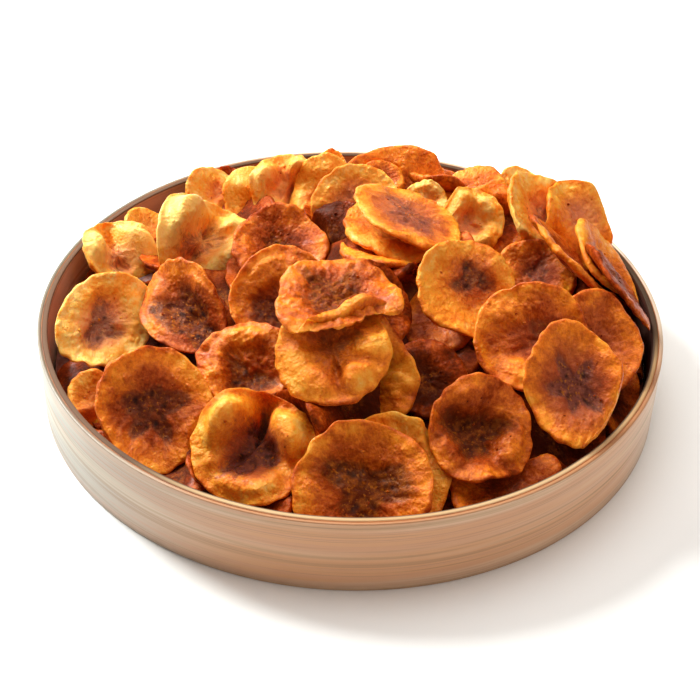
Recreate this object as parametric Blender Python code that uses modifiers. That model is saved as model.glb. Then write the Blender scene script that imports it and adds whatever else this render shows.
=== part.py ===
"""Fried banana chips heaped in their round, shallow tray of bent bamboo.

Two hoops of bent bamboo stand round a flat floor panel, and the chips fill
the tray and rise above its rim. The origin is the middle of the tray's
underside, +Z is up, and lengths are in metres. The heap is one solid: a low
mound out to the hoops, with the chips that show joined to it.
"""
import math
import random

import bmesh
import bpy
from mathutils import Matrix, Vector

MM = 0.001

# Tray: its driving sizes
TRAY_RADIUS = 120.0 * MM
TRAY_HEIGHT = 31.0 * MM
OUTER_HOOP_WALL = 1.5 * MM
INNER_HOOP_WALL = 2.0 * MM
FLOOR_THICKNESS = 3.0 * MM
FIT_GAP = 0.3 * MM
RIM_ROUNDING = 0.5 * MM
HOOP_SIDES = 72

# What follows from them
INNER_HOOP_RADIUS = TRAY_RADIUS - OUTER_HOOP_WALL - FIT_GAP
HOLLOW_RADIUS = INNER_HOOP_RADIUS - INNER_HOOP_WALL
FLOOR_RADIUS = HOLLOW_RADIUS - FIT_GAP
HEAP_RADIUS = HOLLOW_RADIUS - 2.0 * FIT_GAP
HEAP_BOTTOM = FLOOR_THICKNESS + FIT_GAP
HEAP_TOP_LIMIT = 3.0 * TRAY_HEIGHT

# The mound under the chips follows them from below: it lies under each chip's
# middle by a share of the drop to the chip's lower edge, averaged over a reach,
# and falls to a low edge at the hoops
MOUND_EDGE_HEIGHT = 11.0 * MM
MOUND_FALL = 24.0 * MM
MOUND_REACH = 15.0 * MM
MOUND_DEPTH = 3.0 * MM
MOUND_DROP_SHARE = 0.35
MOUND_RINGS = 6
MOUND_SIDES = 24

# The layer under the chips that show lies on the mound, spread by a spiral
UNDER_COUNT = 12
UNDER_WIDTH = 38.0 * MM
UNDER_LIFT = 1.5 * MM
UNDER_TILT = 16.0
UNDER_REACH = 104.0 * MM
GOLDEN_TURN = math.pi * (3.0 - math.sqrt(5.0))
LAYOUT_SEED = 5

# Chips: a fried slice is this thick, and its edge has sides about this long
CHIP_THICKNESS = 3.2 * MM
CHIP_SIDE_LENGTH = 12.0 * MM
FEWEST_SIDES = 7
RING_INSET = 0.42

# How a slice has curled, as shares of its half width: its edge stands up by
# "dish", bends up at two ends by "saddle" and waves by "ruffle", "waves" times round
FORMS = {
    "cup": {"dish": 0.20, "saddle": 0.02, "ruffle": 0.04, "waves": 3},
    "puff": {"dish": 0.26, "saddle": 0.10, "ruffle": 0.08, "waves": 4},
    "curl": {"dish": 0.12, "saddle": 0.34, "ruffle": 0.05, "waves": 3},
    "flat": {"dish": 0.04, "saddle": 0.07, "ruffle": 0.03, "waves": 3},
    "fold": {"dish": 0.12, "saddle": 0.05, "ruffle": 0.07, "waves": 5},
    "blade": {"dish": 0.03, "saddle": 0.02, "ruffle": 0.01, "waves": 3},
}
FOLD_LINE = -0.46
FOLD_BEND = 0.22
FOLD_ANGLE = math.radians(150)

# Each chip that shows: centre x, y, z and width in millimetres; then how far it
# leans and towards where, in degrees (0 is +X, 90 is +Y), its length over its
# width, the turn of its long side in degrees, and its form
CHIPS = {
    "front_middle": (6, -99, 26, 47, 38, 268, 1.03, 0, "cup"),
    "front_behind": (16, -91, 27, 40, 40, 275, 1.05, 90, "cup"),
    "front_left": (-32, -83, 29, 42, 36, 262, 1.02, 0, "puff"),
    "left_star": (-69, -66, 31, 41, 42, 285, 1.12, 80, "cup"),
    "left_sliver": (-92, -52, 22, 24, 36, 290, 1.00, 0, "flat"),
    "left_edge": (-94, -17, 32, 34, 40, 315, 1.28, 12, "puff"),
    "left_pale": (-96, 34, 29, 32, 36, 320, 1.08, -20, "curl"),
    "left_tip": (-87, 55, 27, 22, 39, 330, 1.00, 0, "flat"),
    "left_folded": (-61, 35, 36, 36, 36, 325, 1.20, -8, "curl"),
    "left_inner": (-63, -14, 38, 31, 40, 235, 1.40, -20, "curl"),
    "left_under": (-70, -25, 17, 38, 15, 280, 1.00, 0, "flat"),
    "middle_left_puff": (-37, -48, 38, 33, 30, 262, 1.05, 0, "puff"),
    "middle_left_under": (-31, -53, 27, 40, 15, 250, 1.00, 0, "flat"),
    "middle_bowl": (-25, -20, 46, 42, 40, 285, 1.00, 0, "cup"),
    "middle_folded": (-5, -45, 66, 42, 5, 250, 1.08, 42, "fold"),
    "middle_ring": (-6, -63, 57, 39, 36, 262, 1.03, 0, "puff"),
    "middle_behind": (2, -64, 46, 45, 38, 280, 1.00, 0, "puff"),
    "middle_back": (7, -30, 54, 34, 36, 320, 1.00, 0, "flat"),
    "top_flat": (21, 20, 60, 44, 20, 20, 1.05, 0, "flat"),
    "top_under": (16, 18, 56, 40, 8, 300, 1.00, 0, "flat"),
    "top_edge": (12, 7, 52, 34, 14, 80, 1.00, 0, "flat"),
    "right_inner": (41, -20, 54, 38, 38, 295, 1.03, 90, "cup"),
    "right_inner_under": (33, -25, 45, 30, 35, 235, 1.00, 0, "flat"),
    "right_middle": (65, -38, 46, 42, 38, 275, 1.00, 0, "cup"),
    "right_star": (79, -62, 44, 35, 42, 268, 1.32, 112, "cup"),
    "right_behind_star": (89, -32, 40, 36, 38, 285, 1.10, 80, "cup"),
    "right_small": (84, 4, 39, 22, 36, 265, 1.00, 0, "flat"),
    "right_dark": (71, 9, 41, 32, 35, 255, 1.00, 0, "flat"),
    "right_blade_inner": (84, 7, 50, 48, 49, 22, 1.00, 0, "blade"),
    "right_blade_outer": (104, 2, 42, 42, 49, 15, 1.00, 0, "blade"),
    "right_blade_middle": (100, 20, 42, 44, 42, 7, 1.00, 0, "flat"),
    "right_back_outer": (91, 47, 41, 38, 36, 325, 1.00, 0, "cup"),
    "right_back_inner": (75, 38, 49, 41, 38, 335, 1.00, 0, "cup"),
    "right_back_small": (57, 36, 48, 32, 39, 280, 1.00, 0, "puff"),
    "right_back_puff": (41, 29, 53, 29, 39, 290, 1.00, 0, "puff"),
    "front_right": (45, -78, 36, 38, 38, 290, 1.00, 0, "puff"),
    "front_right_dark": (27, -52, 38, 30, 35, 285, 1.00, 0, "flat"),
    "front_right_low": (55, -92, 22, 40, 15, 265, 1.00, 0, "flat"),
    "front_right_under": (71, -62, 22, 40, 35, 270, 1.00, 0, "flat"),
    "front_middle_under": (29, -60, 28, 40, 25, 250, 1.00, 0, "puff"),
    "back_left_curl": (-59, 81, 29, 28, 20, 300, 1.00, 0, "curl"),
    "back_left_tip": (-57, 94, 29, 14, 39, 270, 1.00, 0, "flat"),
    "back_left_pale": (-29, 66, 41, 33, 37, 265, 1.00, 0, "puff"),
    "back_left_wide": (-36, 64, 36, 44, 25, 250, 1.00, 0, "flat"),
    "back_middle": (1, 45, 47, 37, 39, 270, 1.00, 0, "cup"),
    "back_middle_pale": (11, 68, 46, 20, 39, 260, 1.00, 0, "flat"),
    "back_red": (17, 65, 43, 46, 39, 280, 1.02, 0, "cup"),
    "back_lump": (-11, 93, 39, 14, 42, 270, 1.00, 0, "puff"),
    "back_small": (29, 52, 48, 22, 36, 270, 1.00, 0, "puff"),
    "back_pink": (52, 76, 38, 27, 24, 270, 1.00, 0, "flat"),
    "back_right": (70, 75, 36, 28, 28, 280, 1.00, 0, "cup"),
    "middle_left_brown": (-29, 27, 38, 38, 22, 270, 1.00, 0, "cup"),
    "middle_red": (-7, 27, 44, 34, 39, 220, 1.00, 0, "flat"),
    "back_brown": (-12, 60, 42, 34, 36, 250, 1.00, 0, "curl"),
    "far_left": (-40, 90, 28, 36, 25, 115, 1.00, 0, "cup"),
    "far_middle": (-12, 96, 30, 38, 32, 95, 1.00, 0, "cup"),
    "far_right": (22, 95, 32, 40, 38, 80, 1.00, 0, "puff"),
    "far_right_low": (52, 88, 31, 36, 32, 60, 1.00, 0, "cup"),
    "far_corner": (88, 66, 29, 34, 34, 38, 1.00, 0, "cup"),
    "far_right_edge": (100, 42, 30, 32, 30, 25, 1.00, 0, "flat"),
    "far_slope_right": (38, 76, 38, 36, 35, 70, 1.00, 0, "cup"),
    "far_low_middle": (5, 104, 23, 34, 18, 90, 1.00, 0, "flat"),
    "far_low_right": (72, 84, 24, 34, 20, 48, 1.00, 0, "flat"),
    "far_slope_left": (-20, 80, 38, 34, 30, 110, 1.00, 0, "puff"),
    "far_slope_corner": (62, 58, 42, 34, 35, 55, 1.00, 0, "cup"),
}

# Materials: colour, roughness
OUTER_BAMBOO = ((0.70, 0.50, 0.33), 0.45)
INNER_BAMBOO = ((0.28, 0.12, 0.06), 0.40)
FLOOR_BAMBOO = ((0.34, 0.17, 0.09), 0.50)
FRIED_BANANA = ((0.74, 0.27, 0.04), 0.35)


def clear_scene():
    for old_object in list(bpy.data.objects):
        bpy.data.objects.remove(old_object, do_unlink=True)


def new_collection(name):
    collection = bpy.data.collections.new(name)
    bpy.context.scene.collection.children.link(collection)
    return collection


def make_material(name, look):
    colour, roughness = look
    material = bpy.data.materials.new(name)
    material.use_nodes = True
    shader = material.node_tree.nodes["Principled BSDF"]
    shader.inputs["Base Color"].default_value = (*colour, 1.0)
    shader.inputs["Roughness"].default_value = roughness
    shader.inputs["Metallic"].default_value = 0.0
    return material


def mesh_object(name, bm, collection):
    mesh = bpy.data.meshes.new(name)
    bm.to_mesh(mesh)
    bm.free()
    new_object = bpy.data.objects.new(name, mesh)
    collection.objects.link(new_object)
    return new_object


def shade_round(thing):
    thing.data.shade_smooth()
    thing.data.set_sharp_from_angle(angle=math.radians(35))


def turned(name, outline, sides, collection):
    """Turn an outline of (radius, height) points about the Z axis."""
    bm = bmesh.new()
    points = [bm.verts.new((radius, 0.0, height)) for radius, height in outline]
    for start, end in zip(points, points[1:]):
        bm.edges.new((start, end))
    thing = mesh_object(name, bm, collection)
    screw = thing.modifiers.new("Turn", "SCREW")
    screw.steps = sides
    screw.render_steps = sides
    screw.use_merge_vertices = True
    screw.merge_threshold = 0.00001
    return thing


def bake_modifiers(thing):
    """Give an object its evaluated mesh, in place of its modifiers."""
    graph = bpy.context.evaluated_depsgraph_get()
    mesh = bpy.data.meshes.new_from_object(thing.evaluated_get(graph))
    thing.modifiers.clear()
    thing.data = mesh


def split_into_triangles(thing):
    """Leave only flat faces, so that joined faces meet in straight edges."""
    bm = bmesh.new()
    bm.from_mesh(thing.data)
    bmesh.ops.triangulate(bm, faces=bm.faces)
    bm.to_mesh(thing.data)
    bm.free()


def make_hoop(name, outer_radius, wall, material, collection):
    """A bent strip of bamboo with a softly rounded top and bottom edge."""
    inner_radius = outer_radius - wall
    rounding = RIM_ROUNDING
    outline = [
        (inner_radius + rounding, TRAY_HEIGHT),
        (outer_radius - rounding, TRAY_HEIGHT),
        (outer_radius, TRAY_HEIGHT - rounding),
        (outer_radius, rounding),
        (outer_radius - rounding, 0.0),
        (inner_radius + rounding, 0.0),
        (inner_radius, rounding),
        (inner_radius, TRAY_HEIGHT - rounding),
        (inner_radius + rounding, TRAY_HEIGHT),
    ]
    hoop = turned(name, outline, HOOP_SIDES, collection)
    bake_modifiers(hoop)
    bm = bmesh.new()
    bm.from_mesh(hoop.data)
    bmesh.ops.remove_doubles(bm, verts=bm.verts, dist=0.00001)
    bm.to_mesh(hoop.data)
    bm.free()
    hoop.data.materials.append(material)
    shade_round(hoop)
    return hoop


def make_floor(material, collection):
    bm = bmesh.new()
    middle = Matrix.Translation((0.0, 0.0, FLOOR_THICKNESS / 2.0))
    bmesh.ops.create_cone(bm, cap_ends=True, segments=HOOP_SIDES, radius1=FLOOR_RADIUS,
                          radius2=FLOOR_RADIUS, depth=FLOOR_THICKNESS, matrix=middle)
    floor = mesh_object("floor_panel", bm, collection)
    floor.data.materials.append(material)
    return floor


def mound_height(x, y):
    """Height of the mound's top, a weighted mean of what carries each chip."""
    total = 0.0
    weights = 0.0
    for chip_x, chip_y, chip_z, width, lean, *_ in CHIPS.values():
        drop = width / 2.0 * math.sin(math.radians(lean)) * MM
        carried_at = chip_z * MM - MOUND_DEPTH - MOUND_DROP_SHARE * drop
        distance = math.hypot(x - chip_x * MM, y - chip_y * MM) / MOUND_REACH
        weight = math.exp(-distance * distance) + 1.0e-9
        total += weight * carried_at
        weights += weight
    inwards = (HEAP_RADIUS - math.hypot(x, y)) / MOUND_FALL
    inwards = min(max(inwards, 0.0), 1.0)
    share = inwards * inwards * (3.0 - 2.0 * inwards)
    return MOUND_EDGE_HEIGHT + (total / weights - MOUND_EDGE_HEIGHT) * share


def mound_normal(x, y):
    step = 2.0 * MM
    slope_x = (mound_height(x + step, y) - mound_height(x - step, y)) / (2.0 * step)
    slope_y = (mound_height(x, y + step) - mound_height(x, y - step)) / (2.0 * step)
    return Vector((-slope_x, -slope_y, 1.0)).normalized()


def make_mound(collection):
    """The low mound out to the hoops that the chips rise from."""
    bm = bmesh.new()
    bmesh.ops.create_circle(bm, cap_ends=True, segments=MOUND_SIDES, radius=HEAP_RADIUS)
    bm.faces.ensure_lookup_table()
    middle = bm.faces[0]
    for _ in range(MOUND_RINGS - 1):
        bmesh.ops.inset_individual(bm, faces=[middle], thickness=HEAP_RADIUS / MOUND_RINGS)
    bmesh.ops.poke(bm, faces=[middle])
    for vertex in bm.verts:
        vertex.co.z = mound_height(vertex.co.x, vertex.co.y)
    rim = [edge for edge in bm.edges if edge.is_boundary]
    wall = bmesh.ops.extrude_edge_only(bm, edges=rim)
    bottom = [item for item in wall["geom"] if isinstance(item, bmesh.types.BMEdge)]
    for vertex in {vertex for edge in bottom for vertex in edge.verts}:
        vertex.co.z = HEAP_BOTTOM
    bmesh.ops.contextual_create(bm, geom=[edge for edge in bm.edges if edge.is_boundary])
    bmesh.ops.recalc_face_normals(bm, faces=bm.faces)
    bmesh.ops.triangulate(bm, faces=bm.faces)
    return mesh_object("chips_heap", bm, collection)


def folded(across, along, height):
    """Roll what lies past the fold line up and back over the slice."""
    past = FOLD_LINE - along
    if past <= 0.0:
        return across, along, height
    bend_length = FOLD_BEND * FOLD_ANGLE
    angle = min(past, bend_length) / FOLD_BEND
    straight = max(past - bend_length, 0.0)
    along = FOLD_LINE - FOLD_BEND * math.sin(angle) - straight * math.cos(angle)
    height += FOLD_BEND * (1.0 - math.cos(angle)) + straight * math.sin(angle)
    return across, along, height


def curled(across, along, form, phase):
    """Where a point of a flat unit slice goes as it fries."""
    radius = math.hypot(across, along)
    angle = math.atan2(along, across)
    edge = radius * radius
    height = form["dish"] * edge * edge
    height += form["saddle"] * edge * math.cos(2.0 * angle + phase)
    height += form["ruffle"] * edge * math.cos(form["waves"] * angle + 2.0 * phase)
    return across, along, height


def chip_matrix(x, y, z, lean, toward, spin):
    place = Matrix.Translation(Vector((x, y, z)) * MM)
    heading = Matrix.Rotation(math.radians(toward + 90.0), 4, "Z")
    tilt = Matrix.Rotation(math.radians(lean), 4, "X")
    return place @ heading @ tilt @ Matrix.Rotation(math.radians(spin), 4, "Z")


def make_slice(name, half_width, stretch, form_name, phase, placing, collection):
    """A curled slice of even thickness, at its place; a flat one needs no ring."""
    sides = max(FEWEST_SIDES, round(math.tau * half_width / CHIP_SIDE_LENGTH))
    bm = bmesh.new()
    bmesh.ops.create_circle(bm, cap_ends=True, segments=sides, radius=1.0)
    bm.faces.ensure_lookup_table()
    middle = bm.faces[0]
    if form_name != "flat":
        bmesh.ops.inset_individual(bm, faces=[middle], thickness=RING_INSET)
    bmesh.ops.poke(bm, faces=[middle])
    for vertex in bm.verts:
        across, along, height = curled(vertex.co.x, vertex.co.y, FORMS[form_name], phase)
        if form_name == "fold":
            across, along, height = folded(across, along, height)
        vertex.co = Vector((across * stretch, along, height)) * half_width
    bm.transform(placing)
    chip = mesh_object(name, bm, collection)
    solidify = chip.modifiers.new("Thickness", "SOLIDIFY")
    solidify.thickness = CHIP_THICKNESS
    solidify.offset = 0.0
    bake_modifiers(chip)
    split_into_triangles(chip)


def make_shown_chips(collection):
    for number, (name, row) in enumerate(CHIPS.items()):
        x, y, z, width, lean, toward, stretch, spin, form_name = row
        placing = chip_matrix(x, y, z, lean, toward, spin)
        make_slice(name, width / 2.0 * MM, stretch, form_name, number, placing, collection)


def make_under_chips(collection):
    """The layer beneath, lying on the mound with a small seeded tilt."""
    draw = random.Random(LAYOUT_SEED)
    for number in range(UNDER_COUNT):
        radius = UNDER_REACH * math.sqrt((number + 0.5) / UNDER_COUNT)
        angle = number * GOLDEN_TURN
        x = radius * math.cos(angle)
        y = radius * math.sin(angle)
        lying = Vector((0.0, 0.0, 1.0)).rotation_difference(mound_normal(x, y))
        turn = draw.uniform(0.0, math.tau)
        tilt_axis = Vector((math.cos(turn), math.sin(turn), 0.0))
        tilt = Matrix.Rotation(math.radians(draw.uniform(-UNDER_TILT, UNDER_TILT)), 4, tilt_axis)
        place = Matrix.Translation((x, y, mound_height(x, y) + UNDER_LIFT))
        half_width = UNDER_WIDTH / 2.0 * draw.uniform(0.85, 1.1)
        make_slice(f"under_{number}", half_width, 1.0, "flat", number,
                   place @ tilt @ lying.to_matrix().to_4x4(), collection)


def make_limit(collection):
    """The inside of the tray with its gap, which the heap stays within."""
    depth = HEAP_TOP_LIMIT - HEAP_BOTTOM
    middle = Matrix.Translation((0.0, 0.0, HEAP_BOTTOM + depth / 2.0))
    bm = bmesh.new()
    bmesh.ops.create_cone(bm, cap_ends=True, segments=HOOP_SIDES, radius1=HEAP_RADIUS,
                          radius2=HEAP_RADIUS, depth=depth, matrix=middle)
    limit = mesh_object("heap_limit", bm, collection)
    limit.hide_render = True
    limit.display_type = "WIRE"
    return limit


def apply_boolean(thing, operation, solver, collection=None, cutter=None):
    boolean = thing.modifiers.new(operation.title(), "BOOLEAN")
    boolean.operation = operation
    boolean.solver = solver
    if collection:
        boolean.operand_type = "COLLECTION"
        boolean.collection = collection
    else:
        boolean.object = cutter
    bake_modifiers(thing)


def keep_largest_body(thing):
    """Fill the hollows that joining sealed, and drop loose scraps."""
    bm = bmesh.new()
    bm.from_mesh(thing.data)
    unseen = set(bm.verts)
    bodies = []
    while unseen:
        start = unseen.pop()
        body = {start}
        edge_of_body = [start]
        while edge_of_body:
            vertex = edge_of_body.pop()
            for link in vertex.link_edges:
                other = link.other_vert(vertex)
                if other in unseen:
                    unseen.remove(other)
                    body.add(other)
                    edge_of_body.append(other)
        bodies.append(body)
    bodies.sort(key=len, reverse=True)
    scraps = [vertex for body in bodies[1:] for vertex in body]
    bmesh.ops.delete(bm, geom=scraps, context="VERTS")
    bm.to_mesh(thing.data)
    bm.free()


def make_heap(material, collection, cutters):
    mound = make_mound(collection)
    chips = new_collection("chips")
    make_shown_chips(chips)
    make_under_chips(chips)
    apply_boolean(mound, "UNION", "MANIFOLD", collection=chips)
    for chip in list(chips.objects):
        bpy.data.objects.remove(chip, do_unlink=True)
    bpy.data.collections.remove(chips)
    apply_boolean(mound, "INTERSECT", "MANIFOLD", cutter=make_limit(cutters))
    keep_largest_body(mound)
    mound.data.materials.clear()
    mound.data.materials.append(material)
    return mound


def main():
    clear_scene()
    parts = new_collection("banana_chips_tray")
    cutters = new_collection("cutters")
    make_hoop("outer_hoop", TRAY_RADIUS, OUTER_HOOP_WALL,
              make_material("pale_bamboo", OUTER_BAMBOO), parts)
    make_hoop("inner_hoop", INNER_HOOP_RADIUS, INNER_HOOP_WALL,
              make_material("dark_bamboo", INNER_BAMBOO), parts)
    make_floor(make_material("floor_bamboo", FLOOR_BAMBOO), parts)
    make_heap(make_material("fried_banana", FRIED_BANANA), parts, cutters)


main()
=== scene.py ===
"""Banana chips heaped in a round, shallow tray of bent bamboo.

The tray is two bent hoops glued together round a floor panel. Each slice is
shaped from one round blank: it cups, curls, puffs and blisters as it fries.
Lengths are in metres, the origin is the middle of the tray's underside, and
the camera looks along +Y from above.
"""
import functools
import math
import random

import bpy
import numpy as np
from mathutils import Matrix, Vector


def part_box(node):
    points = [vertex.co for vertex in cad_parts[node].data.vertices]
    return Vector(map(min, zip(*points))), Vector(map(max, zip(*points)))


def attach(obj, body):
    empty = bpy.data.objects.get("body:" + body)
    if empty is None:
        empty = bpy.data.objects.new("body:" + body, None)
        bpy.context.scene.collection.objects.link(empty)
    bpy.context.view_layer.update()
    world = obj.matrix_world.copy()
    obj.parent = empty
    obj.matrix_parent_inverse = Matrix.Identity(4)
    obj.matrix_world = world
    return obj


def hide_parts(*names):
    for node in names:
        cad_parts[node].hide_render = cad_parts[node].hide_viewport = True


bl_info = {
    "name": "Bowl of banana chips",
    "version": (1, 0, 0),
    "blender": (4, 5, 0),
    "location": "View3D > Sidebar > Banana chips",
    "description": "Builds a bent bamboo tray heaped with fried slices of banana",
    "category": "Add Mesh",
}

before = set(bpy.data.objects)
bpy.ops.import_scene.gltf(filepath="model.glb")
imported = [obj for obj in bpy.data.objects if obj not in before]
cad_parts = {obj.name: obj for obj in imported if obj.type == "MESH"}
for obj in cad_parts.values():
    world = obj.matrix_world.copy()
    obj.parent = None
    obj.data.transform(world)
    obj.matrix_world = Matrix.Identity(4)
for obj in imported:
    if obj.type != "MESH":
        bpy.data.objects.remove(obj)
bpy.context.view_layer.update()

MM = 0.001

# The tray, read from the solids
OUTER_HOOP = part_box("outer_hoop")
INNER_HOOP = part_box("inner_hoop")
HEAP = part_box("chips_heap")
TRAY_RADIUS = OUTER_HOOP[1][0]
TRAY_HEIGHT = OUTER_HOOP[1][2]
HEAP_RADIUS = HEAP[1][0]
HEAP_BOTTOM = HEAP[0][2]

# The camera, fitted to the tray's rim and foot
LENS = 75.0
SENSOR = 36.0
CAMERA_PITCH = 37.7
CAMERA_ROLL = 1.74
CAMERA_DISTANCE = 0.5665
CAMERA_SHIFT_RIGHT = -0.45 * MM
CAMERA_SHIFT_UP = -16.81 * MM
AIM_HEIGHT = 31.0 * MM

# Each slice: centre x, y, z and width in millimetres; how far it leans and
# towards where, in degrees (0 is +X, 90 is +Y); its form; how dark it has fried
# and how dark its core is, from 0 to 1; and, where it isn't plainly round, its
# length over its width and the turn of its long side. The fry tone also holds
# painted light and shade: paler for slices at the back and left, where the light
# falls strongest, and darker for those at the front
SLICES = {
    "front_middle": (6, -99, 26, 47, 38, 268, "cup", 0.43, 0.90, 1.03, 0),
    "front_behind": (16, -91, 27, 40, 40, 275, "cup", 0.31, 0.05, 1.05, 90),
    "front_left": (-32, -83, 29, 42, 36, 262, "puff", 0.37, 0.90, 1.02, 0),
    "left_star": (-69, -66, 31, 41, 42, 285, "cup", 0.44, 1.00, 1.12, 80),
    "left_sliver": (-92, -52, 22, 24, 36, 290, "flat", 0.32, 0.00),
    "left_edge": (-94, -17, 32, 34, 40, 315, "puff", 0.15, 0.62, 1.28, 12),
    "left_pale": (-96, 34, 29, 32, 36, 320, "curl", 0.07, 0.35, 1.08, -20),
    "left_tip": (-87, 55, 27, 22, 39, 330, "flat", 0.20, 0.00),
    "left_folded": (-61, 35, 36, 42, 36, 325, "curl", 0.06, 0.40, 1.16, -8),
    "left_inner": (-63, -14, 38, 31, 40, 235, "curl", 0.46, 1.00, 1.40, -20),
    "left_under": (-70, -25, 17, 38, 15, 280, "flat", 0.68, 0.30),
    "middle_left_puff": (-37, -48, 38, 33, 30, 262, "crust", 0.51, 0.70, 1.05, 0),
    "middle_left_under": (-31, -53, 27, 40, 15, 250, "crust", 0.76, 0.70),
    "middle_bowl": (-25, -20, 46, 42, 40, 285, "cup", 0.50, 0.85),
    "middle_folded": (-5, -45, 66, 42, 5, 250, "fold", 0.49, 0.60, 1.08, 42),
    "middle_ring": (-6, -63, 57, 39, 36, 262, "flat", 0.38, 0.45, 1.03, 0),
    "middle_behind": (2, -64, 46, 45, 38, 280, "crust", 0.42, 0.20),
    "middle_back": (7, -30, 54, 34, 36, 320, "flat", 0.76, 0.20),
    "top_flat": (21, 20, 60, 44, 20, 20, "blade", 0.38, 0.50, 1.05, 0),
    "top_under": (16, 18, 56, 40, 8, 300, "flat", 0.28, 0.00),
    "top_edge": (12, 7, 52, 34, 14, 80, "flat", 0.36, 0.00),
    "right_inner": (41, -20, 54, 38, 38, 295, "cup", 0.30, 0.75, 1.03, 90),
    "right_inner_under": (33, -25, 45, 30, 35, 235, "flat", 0.56, 0.10),
    "right_middle": (65, -38, 46, 42, 38, 275, "cup", 0.49, 0.45),
    "right_star": (79, -62, 44, 35, 42, 268, "cup", 0.46, 1.00, 1.32, 112),
    "right_behind_star": (89, -32, 40, 36, 38, 285, "cup", 0.52, 0.15, 1.10, 80),
    "right_small": (84, 4, 39, 22, 36, 265, "flat", 0.80, 0.20),
    "right_dark": (71, 9, 41, 32, 35, 255, "flat", 0.50, 0.60),
    "right_blade_inner": (84, 7, 50, 48, 49, 22, "blade", 0.51, 0.50),
    "right_blade_outer": (104, 2, 42, 42, 49, 15, "blade", 0.68, 0.50),
    "right_blade_middle": (102, 20, 40, 44, 42, 7, "flat", 0.34, 0.20),
    "right_back_outer": (91, 42, 45, 38, 36, 325, "cup", 0.29, 0.10),
    "right_back_inner": (75, 38, 49, 41, 38, 335, "cup", 0.19, 0.40),
    "right_back_small": (57, 36, 48, 32, 39, 280, "puff", 0.42, 0.70),
    "right_back_puff": (45, 31, 51, 29, 39, 290, "puff", 0.18, 0.10),
    "front_right": (45, -78, 36, 38, 38, 290, "puff", 0.57, 0.75),
    "front_right_dark": (27, -52, 38, 30, 35, 285, "flat", 0.82, 0.70),
    "front_right_low": (55, -92, 22, 40, 15, 265, "flat", 0.60, 0.30),
    "front_right_under": (71, -62, 22, 40, 35, 270, "flat", 0.98, 0.60),
    "front_middle_under": (29, -60, 28, 40, 25, 250, "crust", 0.78, 0.60),
    "back_left_curl": (-59, 81, 29, 28, 20, 300, "curl", 0.19, 0.10),
    "back_left_tip": (-57, 94, 29, 14, 39, 270, "flat", 0.72, 0.00),
    "back_left_pale": (-29, 66, 41, 33, 37, 265, "puff", 0.15, 0.10),
    "back_left_wide": (-36, 64, 36, 44, 25, 250, "flat", 0.23, 0.30),
    "back_middle": (1, 45, 47, 37, 39, 270, "cup", 0.25, 0.10),
    "back_middle_pale": (11, 68, 46, 20, 39, 260, "flat", 0.44, 0.20),
    "back_red": (18, 65, 39.5, 46, 32, 280, "cup", 0.46, 0.30, 1.20, 0),
    "back_lump": (-11, 93, 39, 14, 42, 270, "puff", 0.36, 0.00),
    "back_small": (29, 52, 47, 18, 36, 270, "puff", 0.10, 0.00),
    "back_pink": (52, 76, 38, 27, 24, 270, "flat", 0.38, 0.50),
    "back_right": (70, 75, 36, 28, 28, 280, "cup", 0.12, 0.20),
    "middle_left_brown": (-29, 27, 38, 38, 22, 270, "cup", 0.58, 0.90),
    "middle_red": (-7, 27, 44, 34, 39, 220, "flat", 1.00, 0.30),
    "back_brown": (-12, 60, 42, 34, 36, 250, "curl", 0.26, 0.40),
    "far_left": (-40, 90, 28, 36, 25, 115, "cup", 0.45, 0.70),
    "far_middle": (-12, 96, 30, 38, 32, 95, "cup", 0.52, 0.80),
    "far_right": (22, 95, 32, 40, 38, 80, "puff", 0.42, 0.60),
    "far_right_low": (52, 88, 31, 36, 32, 60, "cup", 0.55, 0.75),
    "far_corner": (88, 66, 29, 34, 34, 38, "cup", 0.48, 0.85),
    "far_right_edge": (100, 42, 30, 32, 30, 25, "flat", 0.52, 0.60),
    "far_slope_right": (38, 76, 38, 36, 35, 70, "cup", 0.50, 0.80),
    "far_low_middle": (5, 104, 23, 34, 18, 90, "flat", 0.60, 0.60),
    "far_low_right": (72, 84, 24, 34, 20, 48, "flat", 0.58, 0.60),
    "far_slope_left": (-20, 80, 38, 34, 30, 110, "puff", 0.38, 0.60),
    "far_slope_corner": (62, 58, 42, 34, 35, 55, "cup", 0.52, 0.80),
}

# How a slice has fried, as shares of its half width: the edge stands up by
# "dish", bends by "saddle" and rises and falls by "ruffle", "waves" times round;
# "puff" swells its ring, "sink" drops its core, "crust" and "blister" raise small
# lumps and bubbles, and "ragged" frays the outline; "piece" is what it is joined to
FORM_PARTS = ("dish", "saddle", "ruffle", "waves", "puff", "sink", "crust", "blister",
              "ragged", "piece")
FORM_ROWS = {
    "cup": (0.20, 0.03, 0.04, 3, 0.05, 0.05, 0.013, 0.018, 0.042, "cupped_slices"),
    "puff": (0.20, 0.08, 0.06, 4, 0.16, 0.13, 0.011, 0.016, 0.048, "puffed_slices"),
    "curl": (0.14, 0.32, 0.05, 3, 0.08, 0.09, 0.010, 0.014, 0.046, "curled_slices"),
    "flat": (0.04, 0.07, 0.03, 3, 0.03, 0.03, 0.009, 0.013, 0.040, "flat_slices"),
    "blade": (0.03, 0.02, 0.01, 3, 0.02, 0.02, 0.010, 0.012, 0.045, "flat_slices"),
    "crust": (0.20, 0.08, 0.06, 4, 0.12, 0.10, 0.018, 0.026, 0.050, "puffed_slices"),
    "fold": (0.10, 0.05, 0.07, 5, 0.06, 0.06, 0.018, 0.030, 0.050, "folded_slice"),
}
FORMS = {name: dict(zip(FORM_PARTS, row)) for name, row in FORM_ROWS.items()}

# The mesh of each piece's blank: its sides, and its rings above and below
BLANKS = {
    "cupped_slices": (112, 20, 7),
    "puffed_slices": (112, 22, 8),
    "curled_slices": (112, 22, 8),
    "flat_slices": (104, 18, 7),
    "folded_slice": (144, 30, 14),
    "buried_slices": (44, 8, 3),
}

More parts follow.
